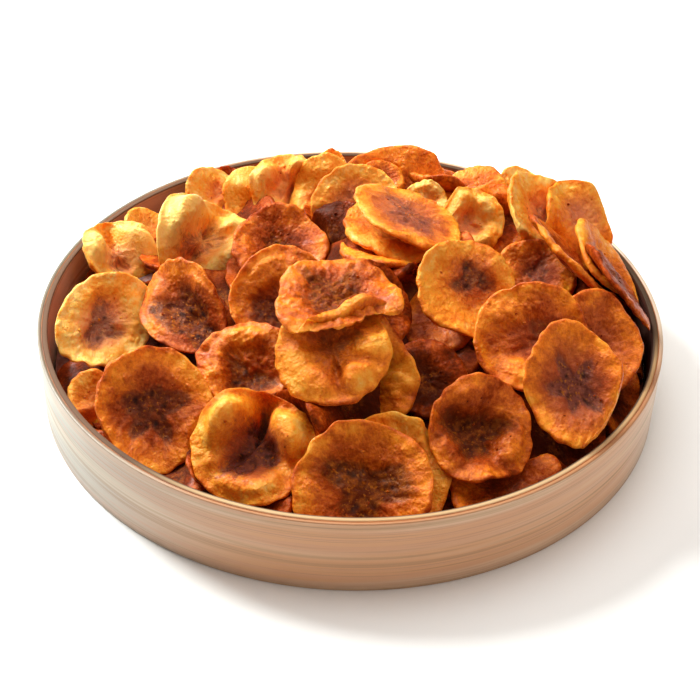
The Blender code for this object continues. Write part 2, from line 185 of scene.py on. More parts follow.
# Slices with swellings of their own: the turn, spread and height of each. A turn
# of 0 is to a slice's right and 90 is up its slope
LOBES = {
    "front_left": ((140, 42, 0.46), (30, 40, 0.46), (265, 70, 0.16)),
    "middle_bowl": ((100, 75, 0.16),),
    "left_folded": ((110, 55, 0.50), (285, 45, 0.50), (20, 26, 0.20)),
    "left_pale": ((165, 46, 0.36), (15, 46, 0.44), (260, 30, 0.16)),
    "left_inner": ((250, 70, 0.22), (80, 40, 0.14)),
    "middle_ring": ((250, 42, 0.12), (320, 26, 0.20), (200, 24, 0.08), (20, 24, 0.10)),
    "middle_left_puff": ((100, 50, 0.22), (190, 34, 0.14), (20, 30, 0.12)),
    "right_back_puff": ((30, 35, 0.24), (95, 30, 0.20), (320, 30, 0.16)),
    "back_left_pale": ((60, 32, 0.28), (150, 35, 0.22), (350, 30, 0.22)),
    "front_right": ((195, 36, 0.14), (330, 50, 0.20), (95, 30, 0.10)),
    "left_edge": ((150, 50, 0.08), (330, 50, 0.08)),
    "front_behind": ((60, 60, 0.06),),
    "right_middle": ((110, 60, 0.08), (250, 34, 0.16)),
}

# Valleys of their own: the turn, spread and depth of each
VALLEYS = {
    "front_left": ((84, 14, 0.34), (222, 13, 0.10)),
    "left_folded": ((30, 16, 0.26), (210, 26, 0.30)),
    "left_pale": ((92, 15, 0.26), (275, 28, 0.24)),
    "left_inner": ((0, 40, 0.16),),
    "middle_ring": ((288, 12, 0.10),),
    "front_right": ((150, 30, 0.10),),
}

# Cores of their own: size, arms, turn, length over width, how far off the middle
# they lie, across and along the slice, and how violet they are
CORES = {
    "front_middle": (0.48, 3, 20, 1.15, 0.04, 0.04, 0.0),
    "front_left": (0.34, 3, 222, 1.5, 0.02, -0.06, 0.9),
    "left_star": (0.42, 5, 75, 1.20, 0.0, 0.0, 0.4),
    "left_edge": (0.36, 3, 60, 1.3, -0.10, -0.05, 1.0),
    "left_folded": (0.34, 2, 0, 2.0, -0.05, 0.0, 0.5),
    "left_pale": (0.30, 3, 90, 1.8, 0.0, -0.15, 0.8),
    "left_inner": (0.58, 3, 0, 1.6, 0.32, -0.08, 0.2),
    "middle_bowl": (0.44, 3, 20, 1.6, -0.05, -0.22, 0.4),
    "middle_left_puff": (0.40, 3, 0, 1.4, 0.1, -0.35, 0.1),
    "middle_folded": (0.55, 5, 40, 1.1, 0.0, 0.1, 0.0),
    "middle_ring": (0.36, 3, 0, 1.5, 0.0, 0.28, 0.0),
    "right_inner": (0.32, 3, 230, 1.1, 0.18, -0.22, 0.3),
    "right_middle": (0.36, 3, 0, 1.1, 0.25, 0.0, 0.4),
    "right_star": (0.42, 5, 10, 1.0, 0.0, 0.0, 1.0),
    "front_right": (0.40, 3, 10, 1.6, -0.1, -0.05, 0.1),
    "top_flat": (0.48, 3, 0, 1.3, 0.0, 0.0, 1.0),
}

# The shape of a slice; what has no unit is a share of its half width
BLANK_HALF_THICKNESS = 0.10
BLANK_ROUNDING = 0.09
SLICE_THICKNESS = 2.7 * MM
BLADE_THICKNESS = 1.9 * MM
SHEET_BEND = 0.03
UNDERSIDE_SHARE = 0.35
BLISTER_COUNT = 70
FOLD_LINE = -0.46
FOLD_BEND = 0.11
FOLD_ANGLE = math.radians(160)
FOLD_TONE = 0.44
FOLD_TONE_FROM = FOLD_LINE + 0.12
FOLD_TONE_TO = FOLD_LINE - 0.20

# How slices give way to one another and to the tray
SLICE_GAP = 0.4 * MM
SLICE_REACH = 1.15
TUCK_FULL = 0.40
TUCK_END = 0.80
TRAY_GAP = 0.3 * MM
TRAY_EASING = 4.0 * MM

# The mound under the slices
MOUND_SIDES = 96
MOUND_RINGS = 24
MOUND_EDGE_HEIGHT = 11.0 * MM
MOUND_FALL = 24.0 * MM
MOUND_REACH = 15.0 * MM
MOUND_DEPTH = 5.0 * MM
MOUND_DROP_SHARE = 0.35
MOUND_SIDE_GAP = 0.5 * MM
MOUND_FLOOR_GAP = 0.2 * MM
SLOPE_STEP = 2.0 * MM

# The layer of buried slices on the mound; pairs are the limits of a random draw
LAYOUT_SEED = 5
BURIED_COUNT = 90
BURIED_FIRST_NUMBER = 1000
BURIED_REACH = 109.0 * MM
BURIED_LIFT = 2.0 * MM
BURIED_WIDTHS = (0.8, 1.1)
BURIED_WIDTH = 36.0 * MM
BURIED_TILTS = (4.0, 22.0)
# Buried slices are fried dark: painted shade, for they lie in the gaps under the others
BURIED_SHADE_TONES = (0.68, 0.92)
BURIED_CORES = (0.4, 1.0)
GOLDEN_TURN = math.pi * (3.0 - math.sqrt(5.0))

# The crumbs of crust
CRUMBS_A_SLICE = 10
CRUMB_SPREAD = 0.62
CRUMB_SIZES = (0.22 * MM, 0.70 * MM)
CRUMB_UNEVENNESS = 0.22
CRUMB_TONES = (0.08, 0.30)
CORE_PULL = 0.6

# The hoops and the glue between them
HOOP_SIDES = 288
OUTER_ROUNDING = 0.5 * MM
INNER_ROUNDING = 0.45 * MM
GLUE_ROUNDING = 0.08 * MM
GLUE_DROP = 0.15 * MM

# What is taken for a flat end, the edges to bevel and the edges to shade smooth
FACES_UP = 0.999
BEVEL_ANGLE = math.radians(50)
HOOP_SMOOTHING = math.radians(40)
MOUND_SMOOTHING = math.radians(50)

# Each light: its place, what it points at, its width and its colour
LIGHTS = {
    "key": ((-0.70, 0.55, 0.75), (0.0, 0.0, 0.02), 0.45, (0.95, 1.0, 0.98)),
    "top": ((0.0, 0.28, 1.15), (0.0, 0.0, 0.0), 1.2, (1.0, 0.98, 0.94)),
    "fill": ((0.90, -0.60, 0.60), (0.0, 0.0, 0.02), 0.9, (1.0, 0.80, 0.62)),
}
STAGE_FLOOR_SIZE = 8.0


# Settings that a user would change

class TraySettings(bpy.types.PropertyGroup):
    radius: bpy.props.FloatProperty(
        name="Radius", description="Outer radius of the tray",
        default=TRAY_RADIUS, min=0.05, unit="LENGTH")
    height: bpy.props.FloatProperty(
        name="Height", description="Height of both hoops",
        default=TRAY_HEIGHT, min=0.01, unit="LENGTH")
    outer_wall: bpy.props.FloatProperty(
        name="Outer wall", description="Thickness of the outer hoop",
        default=1.5 * MM, min=0.0005, unit="LENGTH")
    inner_wall: bpy.props.FloatProperty(
        name="Inner wall", description="Thickness of the inner hoop",
        default=2.0 * MM, min=0.0005, unit="LENGTH")
    pale_colour: bpy.props.FloatVectorProperty(
        name="Pale bamboo", description="Outside of the tray", subtype="COLOR",
        default=(0.68, 0.345, 0.170), min=0.0, max=1.0)
    dark_colour: bpy.props.FloatVectorProperty(
        name="Dark bamboo", description="Inside of the tray", subtype="COLOR",
        default=(0.20, 0.075, 0.045), min=0.0, max=1.0)
    glue_colour: bpy.props.FloatVectorProperty(
        name="Glue seam", description="Seam between the hoops", subtype="COLOR",
        default=(0.42, 0.13, 0.03), min=0.0, max=1.0)


class ChipSettings(bpy.types.PropertyGroup):
    oil: bpy.props.FloatProperty(
        name="Oil", description="Weight of the oily coat on the slices",
        default=0.06, min=0.0, max=1.0, subtype="FACTOR")
    glow: bpy.props.FloatProperty(
        name="Glow", description="Share of light that passes under the surface",
        default=0.32, min=0.0, max=1.0, subtype="FACTOR")
    core_colour: bpy.props.FloatVectorProperty(
        name="Brown core", description="Core of a slice that has browned", subtype="COLOR",
        default=(0.10, 0.015, 0.004), min=0.0, max=1.0)
    violet_colour: bpy.props.FloatVectorProperty(
        name="Violet core", description="Core of a slice that has stained violet",
        subtype="COLOR", default=(0.15, 0.042, 0.034), min=0.0, max=1.0)


class StageSettings(bpy.types.PropertyGroup):
    floor_colour: bpy.props.FloatVectorProperty(
        name="Floor", description="Colour of the pale floor", subtype="COLOR",
        default=(0.97, 0.97, 0.97), min=0.0, max=1.0)
    key_power: bpy.props.FloatProperty(
        name="Key light", description="Power of the large light at the left",
        default=25.0, min=0.0, unit="POWER")
    top_power: bpy.props.FloatProperty(
        name="Top light", description="Power of the wide light overhead",
        default=12.0, min=0.0, unit="POWER")
    fill_power: bpy.props.FloatProperty(
        name="Fill light", description="Power of the warm light at the right",
        default=3.0, min=0.0, unit="POWER")
    sky: bpy.props.FloatProperty(
        name="Sky", description="Strength of the light from all round",
        default=0.10, min=0.0)


# Small helpers

def deselect_all():
    if bpy.context.object and bpy.context.object.mode != "OBJECT":
        bpy.ops.object.mode_set(mode="OBJECT")
    bpy.ops.object.select_all(action="DESELECT")


def activate(thing):
    deselect_all()
    thing.select_set(True)
    bpy.context.view_layer.objects.active = thing


def apply_modifiers(thing):
    activate(thing)
    for modifier in list(thing.modifiers):
        bpy.ops.object.modifier_apply(modifier=modifier.name)


def finish_piece(thing, name, material):
    """Put a piece's place into its mesh, name it and hand it to the tray."""
    activate(thing)
    bpy.ops.object.transform_apply(location=True, rotation=True, scale=True)
    thing.name = name
    thing.data.name = name
    thing.data.materials.clear()
    thing.data.materials.append(material)
    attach(thing, "root")


def add_bevel(thing, width, segments):
    bevel = thing.modifiers.new("Rounding", "BEVEL")
    bevel.width = width
    bevel.segments = segments
    bevel.limit_method = "ANGLE"
    bevel.angle_limit = BEVEL_ANGLE


def ring_end(thing, up, rings, radius):
    """Inset a flat end of a cylinder into rings, with a fan in the middle."""
    bpy.ops.object.mode_set(mode="EDIT")
    bpy.ops.mesh.select_mode(type="FACE")
    bpy.ops.mesh.select_all(action="DESELECT")
    bpy.ops.object.mode_set(mode="OBJECT")
    for face in thing.data.polygons:
        face.select = face.normal.z * up > FACES_UP
    bpy.ops.object.mode_set(mode="EDIT")
    for _ in range(rings - 1):
        bpy.ops.mesh.inset(thickness=radius / rings)
    bpy.ops.mesh.poke()
    bpy.ops.object.mode_set(mode="OBJECT")


def points_of(mesh):
    """A mesh's points, one to a row."""
    flat = np.empty(len(mesh.vertices) * 3)
    mesh.vertices.foreach_get("co", flat)
    return flat.reshape(-1, 3)


def smooth(low, high, value):
    """From nothing at one value to one at another, eased at both."""
    share = np.clip((value - low) / (high - low), 0.0, 1.0)
    return share * share * (3.0 - 2.0 * share)


def polar(across, along):
    """How far out a place on a slice is, and its turn."""
    return np.hypot(across, along), np.arctan2(along, across)


# Node helpers

class Nodes:
    """A material's node tree, with short calls to add and join its nodes."""

    def __init__(self, name):
        self.material = bpy.data.materials.new(name)
        self.material.use_nodes = True
        self.tree = self.material.node_tree
        self.shader = self.tree.nodes["Principled BSDF"]

    def add(self, kind, sockets=None, **settings):
        node = self.tree.nodes.new(kind)
        for key, value in settings.items():
            setattr(node, key, value)
        for key, value in (sockets or {}).items():
            self.put(node.inputs[key], value)
        return node

    def put(self, socket, value):
        """Join a socket to another, or give it a number, a vector or an opaque colour."""
        if isinstance(value, bpy.types.NodeSocket):
            self.tree.links.new(value, socket)
        elif socket.type == "RGBA":
            socket.default_value = (*value, 1.0)
        else:
            socket.default_value = value

    def object_place(self):
        return self.add("ShaderNodeTexCoord").outputs["Object"]

    def axes(self, vector):
        return self.add("ShaderNodeSeparateXYZ", {"Vector": vector}).outputs

    def channels(self, attribute):
        """Red, green, blue and alpha of a colour attribute."""
        values = self.add("ShaderNodeAttribute", attribute_name=attribute).outputs
        parts = self.add("ShaderNodeSeparateColor", {"Color": values["Color"]}).outputs
        return (*parts, values["Alpha"])

    def math(self, operation, first, second, clamp=False):
        node = self.add("ShaderNodeMath", {0: first, 1: second}, operation=operation,
                        use_clamp=clamp)
        return node.outputs[0]

    def sum(self, *values):
        return functools.reduce(lambda total, value: self.math("ADD", total, value), values)

    def times(self, *values):
        return functools.reduce(lambda total, value: self.math("MULTIPLY", total, value), values)

    def range(self, value, low, high, out_low=0.0, out_high=1.0, easing="SMOOTHSTEP"):
        """A value between two limits as one between two others, eased at both."""
        return self.add("ShaderNodeMapRange", {
            "Value": value, "From Min": low, "From Max": high,
            "To Min": out_low, "To Max": out_high}, interpolation_type=easing).outputs[0]

    def span(self, value, low, high, out_low, out_high):
        """The same in a straight line."""
        return self.range(value, low, high, out_low, out_high, "LINEAR")

    def swing(self, noise, reach):
        """A noise as a push either way, up to a reach."""
        return self.span(noise, 0.25, 0.75, -reach, reach)

    def vector(self, x, y, z):
        return self.add("ShaderNodeCombineXYZ", {"X": x, "Y": y, "Z": z}).outputs[0]

    def length(self, x, y):
        return self.add("ShaderNodeVectorMath", {0: self.vector(x, y, 0.0)},
                        operation="LENGTH").outputs["Value"]

    def mix(self, factor, first, second):
        return self.add("ShaderNodeMix", {"Factor": factor, "A": first, "B": second},
                        data_type="RGBA").outputs["Result"]

    def noise(self, vector, scale, detail, roughness=0.55):
        return self.add("ShaderNodeTexNoise", {
            "Vector": vector, "Scale": scale, "Detail": detail,
            "Roughness": roughness}).outputs["Fac"]

    def streaks(self, place, scale, detail, roughness=0.55):
        """A noise that is drawn out along the axes of a small scale."""
        scaled = self.add("ShaderNodeMapping", {"Vector": place, "Scale": scale})
        return self.noise(scaled.outputs["Vector"], 1.0, detail, roughness)

    def layers(self, colour, rows):
        """Lay colours over one, each where a value passes from low to high, up to a share."""
        for value, low, high, share, tint in rows:
            colour = self.mix(self.range(value, low, high, 0.0, share), colour, tint)
        return colour

    def ramp(self, value, stops):
        node = self.add("ShaderNodeValToRGB", {"Fac": value})
        node.color_ramp.interpolation = "B_SPLINE"
        elements = node.color_ramp.elements
        while len(elements) < len(stops):
            elements.new(0.5)
        for element, (place, colour) in zip(elements, stops):
            element.position = place
            element.color = (*colour, 1.0)
        return node.outputs["Color"]

    def bump(self, height, strength, distance):
        return self.add("ShaderNodeBump", {
            "Height": height, "Strength": strength, "Distance": distance}).outputs["Normal"]

    def finish(self, **sockets):
        for key, value in sockets.items():
            self.put(self.shader.inputs[key.replace("_", " ")], value)
        return self.material


# Materials

# Pale hoop: its sides, tinted with painted light, its streaks, its foot and its lip; dark hoop,
# its sides with painted light and shade, and its cut top
LEFT_PAINTED_COOL_LIGHT = (0.50, 0.49, 0.43)
RIGHT_PAINTED_WARM_LIGHT = (0.72, 0.43, 0.26)
RIGHT_END_PAINTED_LIGHT = (0.80, 0.66, 0.54)
PALE_STREAK = (0.78, 0.66, 0.48)
ROSY_STREAK = (0.62, 0.31, 0.19)
DARK_STREAK = (0.40, 0.22, 0.11)
DARK_THREAD = (0.34, 0.18, 0.09)
FOOT_SHADE = (0.36, 0.20, 0.12)
LIP_LEFT = (0.12, 0.085, 0.045)
LIP_SIDE = (0.60, 0.46, 0.33)
LIP_FRONT = (0.36, 0.13, 0.030)
DARK_LIGHT = (0.33, 0.145, 0.085)
DARK_DEEP = (0.09, 0.03, 0.02)
DARK_LIT = (0.66, 0.33, 0.21)
DARK_SHADED = (0.075, 0.030, 0.026)
CUT_AGED = (0.075, 0.045, 0.025)
CUT_FRESH = (0.50, 0.29, 0.13)
CUT_FRESHEST = (0.62, 0.42, 0.23)
GLUE_DARK = (0.24, 0.07, 0.02)
FLOOR_PALE = (0.58, 0.38, 0.22)
FLOOR_DARK = (0.36, 0.20, 0.10)
# The mound's colours are painted shade for the dark gaps between the slices
GAP_DARK = (0.05, 0.008, 0.003)
GAP_BROWN = (0.14, 0.022, 0.004)

# The colour of the flesh as it fries, from pale gold to dark brown
FRYING = (
    (0.00, (1.00, 0.62, 0.17)), (0.13, (1.00, 0.44, 0.045)), (0.30, (0.95, 0.265, 0.008)),
    (0.45, (0.70, 0.140, 0.002)), (0.62, (0.44, 0.056, 0.001)), (0.80, (0.18, 0.020, 0.001)),
    (1.00, (0.060, 0.007, 0.001)),
)
WARM_GLOSS = (1.0, 0.74, 0.48)
PALE_HALO_AND_SHEEN = (0.80, 0.36, 0.22)
HALO_BROWN = (0.42, 0.095, 0.042)
BROWN_LIGHT = (0.30, 0.070, 0.008)
VIOLET_LIGHT = (0.28, 0.075, 0.045)
CLOT = (0.055, 0.012, 0.007)
FLECK = (0.60, 0.17, 0.012)
SEED = (0.020, 0.007, 0.009)


def bamboo_streaks(nodes, place):
    """Streaks that run along the hoops: slow round the tray, quick up its wall."""
    fine = nodes.streaks(place, (9.0, 9.0, 1500.0), 3.0, 0.6)
    medium = nodes.streaks(place, (6.0, 6.0, 420.0), 2.0, 0.5)
    broad = nodes.streaks(place, (5.0, 5.0, 120.0), 2.0, 0.5)
    return fine, medium, broad


def towards_front(nodes, x, y):
    """One at the tray's front, round to its right, and nothing at its sides and back."""
    return nodes.range(nodes.math("SUBTRACT", nodes.times(x, 0.45), y), 0.055, 0.095)


def pale_bamboo(settings):
    """Streaked strip with a worn lip, greenish at the left and pinkish at the right as painted
    light.
    """
    nodes = Nodes("pale bamboo, streaked along the hoop")
    place = nodes.object_place()
    x, y, z = nodes.axes(place)
    fine, medium, broad = bamboo_streaks(nodes, place)
    lip = nodes.mix(nodes.range(x, -0.02, -0.115), LIP_SIDE, LIP_LEFT)
    lip = nodes.mix(towards_front(nodes, x, y), lip, LIP_FRONT)
    colour = nodes.layers(settings.pale_colour, (
        # Painted light on the sides: greenish where the cool key light falls at the left, pinkish
        # at the right and paler at its right end where the warm fill falls
        (x, -0.02, -0.115, 1.0, LEFT_PAINTED_COOL_LIGHT),
        (x, 0.0, 0.115, 0.6, RIGHT_PAINTED_WARM_LIGHT),
        (x, 0.095, 0.12, 1.0, RIGHT_END_PAINTED_LIGHT),
        (broad, 0.44, 0.60, 0.375, PALE_STREAK),
        (medium, 0.50, 0.42, 0.36, ROSY_STREAK),
        (medium, 0.54, 0.64, 0.44, DARK_STREAK),
        (fine, 0.54, 0.64, 0.40, DARK_THREAD),
        (z, 0.006, 0.0, 0.35, FOOT_SHADE),
        (z, TRAY_HEIGHT - 0.4 * MM, TRAY_HEIGHT - 0.1 * MM, 0.8, lip)))
    return nodes.finish(Base_Color=colour, Roughness=nodes.range(medium, 0.3, 0.7, 0.36, 0.52),
                        Normal=nodes.bump(nodes.sum(medium, fine), 0.35, 0.0003))


def dark_bamboo(settings):
    """Darkened strip; its cut top has aged too, but is fresh on the outside at the front."""
    nodes = Nodes("dark bamboo with a pale cut edge")
    place = nodes.object_place()
    x, y, z = nodes.axes(place)
    fine, medium, broad = bamboo_streaks(nodes, place)
    cut = nodes.range(z, TRAY_HEIGHT - 0.9 * MM, TRAY_HEIGHT - 0.4 * MM)
    colour = nodes.layers(settings.dark_colour, (
        (medium, 0.35, 0.65, 1.0, DARK_LIGHT),
        (fine, 0.58, 0.75, 0.6, DARK_DEEP),
        # Painted light and shade: lighter at the left where the key light falls, darker at the
        # right
        (x, -0.05, -0.10, 0.90, DARK_LIT),
        (x, 0.08, 0.11, 0.85, DARK_SHADED)))
    colour = nodes.mix(nodes.times(cut, 0.85), colour, CUT_AGED)
    radius = INNER_HOOP[1][0]
    outer_half = nodes.range(nodes.length(x, y), radius - 1.7 * MM, radius - 1.0 * MM)
    fresh = nodes.mix(nodes.range(broad, 0.4, 0.6), CUT_FRESH, CUT_FRESHEST)
    colour = nodes.mix(nodes.times(cut, outer_half, towards_front(nodes, x, y)), colour, fresh)
    roughness = nodes.sum(nodes.range(medium, 0.3, 0.7, 0.26, 0.42), nodes.times(cut, 0.4))
    return nodes.finish(Base_Color=colour, Roughness=roughness,
                        Normal=nodes.bump(nodes.sum(medium, fine), 0.3, 0.0003),
                        Specular_IOR_Level=nodes.range(cut, 0.0, 1.0, 0.5, 0.15))


def glue(settings):
    nodes = Nodes("amber glue")
    spread = nodes.noise(nodes.object_place(), 90.0, 2.0)
    colour = nodes.mix(nodes.range(spread, 0.4, 0.65), settings.glue_colour, GLUE_DARK)
    return nodes.finish(Base_Color=colour, Roughness=0.4)


def floor_bamboo():
    nodes = Nodes("floor panel bamboo")
    grain = nodes.streaks(nodes.object_place(), (14.0, 520.0, 14.0), 3.0)
    colour = nodes.mix(nodes.range(grain, 0.35, 0.68), FLOOR_PALE, FLOOR_DARK)
    return nodes.finish(Base_Color=colour, Roughness=0.5, Normal=nodes.bump(grain, 0.3, 0.0004))


class FriedNodes(Nodes):
    """The nodes of a fried slice, from what its mesh says of each place.

    The "slice" map is the flat slice seen from above. "fry" holds how dark the
    slice has fried, how much of its core lies here, how deep the place lies, which
    the colour uses for painted shade in hollows and painted light on swellings,
    and a number of the slice's own. "stain" holds how violet the core is, its seeds,
    the halo round it and how strong the core is.
    """

    def __init__(self, name, settings):
        super().__init__(name)
        self.settings = settings
        self.tone, self.core, self.depth, own = self.channels("fry")
        violet, self.seeds, self.halo, self.core_strength = self.channels("stain")
        self.violet = self.times(violet, self.range(self.tone, 0.85, 0.55))
        self.lay_axes(own)
        self.place = self.object_place()
        self.grain = self.noise(self.place, 1000.0, 4.0, 0.65)
        self.mottle = self.noise(self.place, 330.0, 5.0, 0.62)
        self.blotch = self.noise(self.place, 90.0, 3.0)

    def lay_axes(self, own):
        """The slice's flat coordinates, in a layer of its own, and fibres from its middle."""
        flat = self.add("ShaderNodeUVMap", uv_map="slice").outputs["UV"]
        x, y, _ = self.axes(flat)
        across = self.span(x, 0.0, 1.0, -1.0, 1.0)
        along = self.span(y, 0.0, 1.0, -1.0, 1.0)
        layer = self.times(own, 40.0)
        self.at = self.vector(across, along, layer)
        self.radius = self.length(across, along)
        shift = self.span(self.noise(self.at, 2.6, 4.0, 0.6), 0.0, 1.0, -0.22, 0.22)
        across = self.sum(across, shift)
        along = self.math("SUBTRACT", along, shift)
        turn = self.times(self.math("ARCTAN2", along, across), 3.2)
        out = self.times(self.length(across, along), 1.6)
        self.fibres = self.noise(self.vector(turn, out, layer), 2.4, 4.0, 0.6)

    def how_dark(self):
        """The slice's tone: uneven, darker round the core, with painted shade in hollows and light
        on swellings, paler and toasted at the rim.
        """
        dark = self.sum(
            self.tone, self.swing(self.mottle, 0.11), self.swing(self.blotch, 0.19),
            self.swing(self.fibres, 0.08), self.span(self.grain, 0.3, 0.7, -0.08, 0.08),
            # Painted shade and light: darker where a place lies deep in a hollow, paler where it
            # swells
            self.span(self.depth, 0.0, 1.0, -0.09, 0.18),
            self.times(self.halo, self.core_strength, 0.24), 0.01)
        # Paler towards the rim: partly the flesh's own colour, partly a painted highlight and glow
        # along the rim
        rim_paleness_and_highlight = self.range(self.radius, 0.60, 0.96, 0.0, 0.13)
        patches = self.range(self.noise(self.at, 1.7, 2.0, 0.5), 0.46, 0.62)
        toast = self.times(self.range(self.radius, 0.86, 1.0), patches, 0.22)
        return self.math("ADD", self.math("SUBTRACT", dark, rim_paleness_and_highlight), toast, True)

    def stain(self):
        """One where the core has stained the flesh, broken up by mottles and fibres."""
        broken = self.sum(self.core, self.swing(self.mottle, 0.25), self.swing(self.fibres, 0.22))
        return self.times(self.range(broken, 0.12, 0.75), self.range(self.core, 0.0, 0.25))

    def with_core(self, colour, stain):
        """A soft halo, then a brown or violet stain with clots, flecks and seeds."""
        # On pale slices the halo is pale lilac: partly the stain's own colour, partly painted
        # sheen
        halo = self.mix(self.range(self.tone, 0.10, 0.45), PALE_HALO_AND_SHEEN, HALO_BROWN)
        colour = self.mix(self.times(self.halo, self.violet, 0.55), colour, halo)
        brown = self.mix(self.range(self.mottle, 0.42, 0.62), self.settings.core_colour,
                         BROWN_LIGHT)
        violet = self.mix(self.range(self.mottle, 0.38, 0.62), self.settings.violet_colour,
                          VIOLET_LIGHT)
        colour = self.mix(self.times(stain, 0.85), colour, self.mix(self.violet, brown, violet))
        clots = self.range(self.noise(self.at, 8.0, 4.0, 0.65), 0.50, 0.62)
        clots = self.times(clots, self.range(self.core, 0.30, 0.80), 0.55)
        flecks = self.range(self.noise(self.at, 17.0, 2.0, 0.5), 0.58, 0.68)
        flecks = self.times(flecks, self.core, 0.60)
        seeds = self.times(self.seeds, 0.90)
        for share, tint in ((clots, CLOT), (flecks, FLECK), (seeds, SEED)):
            colour = self.mix(share, colour, tint)
        return colour

    def fine_crust(self):
        """Relief finer than the mesh: mottles, grain, pimples and fibres."""
        cells = self.add("ShaderNodeTexVoronoi", {"Vector": self.place, "Scale": 620.0},
                         feature="SMOOTH_F1").outputs["Distance"]
        patches = self.range(self.noise(self.place, 140.0, 2.0, 0.5), 0.42, 0.60)
        pimples = self.times(self.range(cells, 0.55, 0.10), patches)
        height = self.sum(self.times(self.mottle, 0.9), self.times(self.grain, 0.8),
                          self.times(pimples, 0.55), self.times(self.fibres, 0.7))
        return self.bump(height, 0.6, 0.0010)


def fried_banana(settings):
    """Fried slice: pale gold to dark brown as it fries, with a dark, seedy core."""
    name = "fried banana"
    if name in bpy.data.materials:
        return bpy.data.materials[name]
    nodes = FriedNodes(name, settings)
    dark = nodes.how_dark()
    stain = nodes.stain()
    wet = nodes.times(stain, nodes.violet, 0.14)
    roughness = nodes.math("SUBTRACT", nodes.range(nodes.blotch, 0.3, 0.7, 0.34, 0.54), wet)
    oily = nodes.times(nodes.range(dark, 0.55, 0.95, settings.oil, 0.02),
                       nodes.range(stain, 0.0, 1.0, 1.0, 0.3))
    nodes.shader.subsurface_method = "RANDOM_WALK"
    return nodes.finish(
        Base_Color=nodes.with_core(nodes.ramp(dark, FRYING), stain), Roughness=roughness,
        Normal=nodes.fine_crust(), Subsurface_Weight=settings.glow,
        Subsurface_Radius=(1.0, 0.36, 0.08), Subsurface_Scale=0.003,
        Specular_IOR_Level=nodes.range(dark, 0.45, 0.80, 0.40, 0.07),
        Specular_Tint=WARM_GLOSS, Coat_Weight=oily, Coat_Roughness=0.16)


def mound_painted_shade():
    nodes = Nodes("shadowed pieces between the slices")
    patches = nodes.noise(nodes.object_place(), 120.0, 4.0, 0.6)
    colour = nodes.mix(nodes.range(patches, 0.35, 0.65), GAP_DARK, GAP_BROWN)
    return nodes.finish(Base_Color=colour, Roughness=0.55, Normal=nodes.bump(patches, 0.8, 0.004))


# The tray

def bent_hoop(outer_radius, wall, height, rounding):
    """A bent strip: an open band, thickened inwards, with softly rounded edges."""
    deselect_all()
    bpy.ops.mesh.primitive_cylinder_add(
        vertices=HOOP_SIDES, radius=outer_radius, depth=height, end_fill_type="NOTHING",
        location=(0.0, 0.0, height / 2.0))
    hoop = bpy.context.object
    bpy.ops.object.transform_apply(location=True, rotation=True, scale=True)
    solidify = hoop.modifiers.new("Wall", "SOLIDIFY")
    solidify.thickness = wall
    solidify.offset = -1.0
    add_bevel(hoop, rounding, 3)
    apply_modifiers(hoop)
    bpy.ops.object.shade_smooth_by_angle(angle=HOOP_SMOOTHING)
    return hoop


class TRAY_OT_outer_hoop(bpy.types.Operator):
    """Bend the pale outer hoop"""
    bl_idname = "tray.outer_hoop"
    bl_label = "Outer hoop"

    def execute(self, context):
        tray = context.scene.tray_settings
        hoop = bent_hoop(tray.radius, tray.outer_wall, tray.height, OUTER_ROUNDING)
        finish_piece(hoop, "outer_bamboo_hoop", pale_bamboo(tray))
        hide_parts("outer_hoop")
        return {"FINISHED"}


class TRAY_OT_inner_hoop(bpy.types.Operator):
    """Bend the dark inner hoop"""
    bl_idname = "tray.inner_hoop"
    bl_label = "Inner hoop"

    def execute(self, context):
        tray = context.scene.tray_settings
        hoop = bent_hoop(INNER_HOOP[1][0], tray.inner_wall, tray.height, INNER_ROUNDING)
        finish_piece(hoop, "inner_bamboo_hoop", dark_bamboo(tray))
        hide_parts("inner_hoop")
        return {"FINISHED"}


class TRAY_OT_glue_seam(bpy.types.Operator):
    """Fill the seam between the hoops with amber glue"""
    bl_idname = "tray.glue_seam"
    bl_label = "Glue seam"

    def execute(self, context):
        tray = context.scene.tray_settings
        outer = tray.radius - tray.outer_wall
        seam = bent_hoop(outer, outer - INNER_HOOP[1][0], tray.height - GLUE_DROP, GLUE_ROUNDING)
        finish_piece(seam, "glue_seam", glue(tray))
        return {"FINISHED"}


class TRAY_OT_floor_panel(bpy.types.Operator):
    """Give the floor panel its grain"""
    bl_idname = "tray.floor_panel"
    bl_label = "Floor panel"

    def execute(self, context):
        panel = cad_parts["floor_panel"]
        material = floor_bamboo()
        if panel.material_slots:
            panel.material_slots[0].material = material
        else:
            panel.data.materials.append(material)
        return {"FINISHED"}


# The mound

def mound_height(x, y):
    """Height of the mound's top, a weighted mean of what carries each slice."""
    total = 0.0
    weights = 0.0
    for slice_x, slice_y, slice_z, width, lean, *_ in SLICES.values():
        drop = width / 2.0 * math.sin(math.radians(lean)) * MM
        carried_at = slice_z * MM - MOUND_DEPTH - MOUND_DROP_SHARE * drop
        distance = math.hypot(x - slice_x * MM, y - slice_y * MM) / MOUND_REACH
        weight = math.exp(-distance * distance) + 1.0e-9
        total += weight * carried_at
        weights += weight
    share = smooth(0.0, MOUND_FALL, HEAP_RADIUS - math.hypot(x, y))
    return MOUND_EDGE_HEIGHT + (total / weights - MOUND_EDGE_HEIGHT) * share


def mound_normal(x, y):
    step = SLOPE_STEP
    slope_x = (mound_height(x + step, y) - mound_height(x - step, y)) / (2.0 * step)
    slope_y = (mound_height(x, y + step) - mound_height(x, y - step)) / (2.0 * step)
    return Vector((-slope_x, -slope_y, 1.0)).normalized()


# Slices

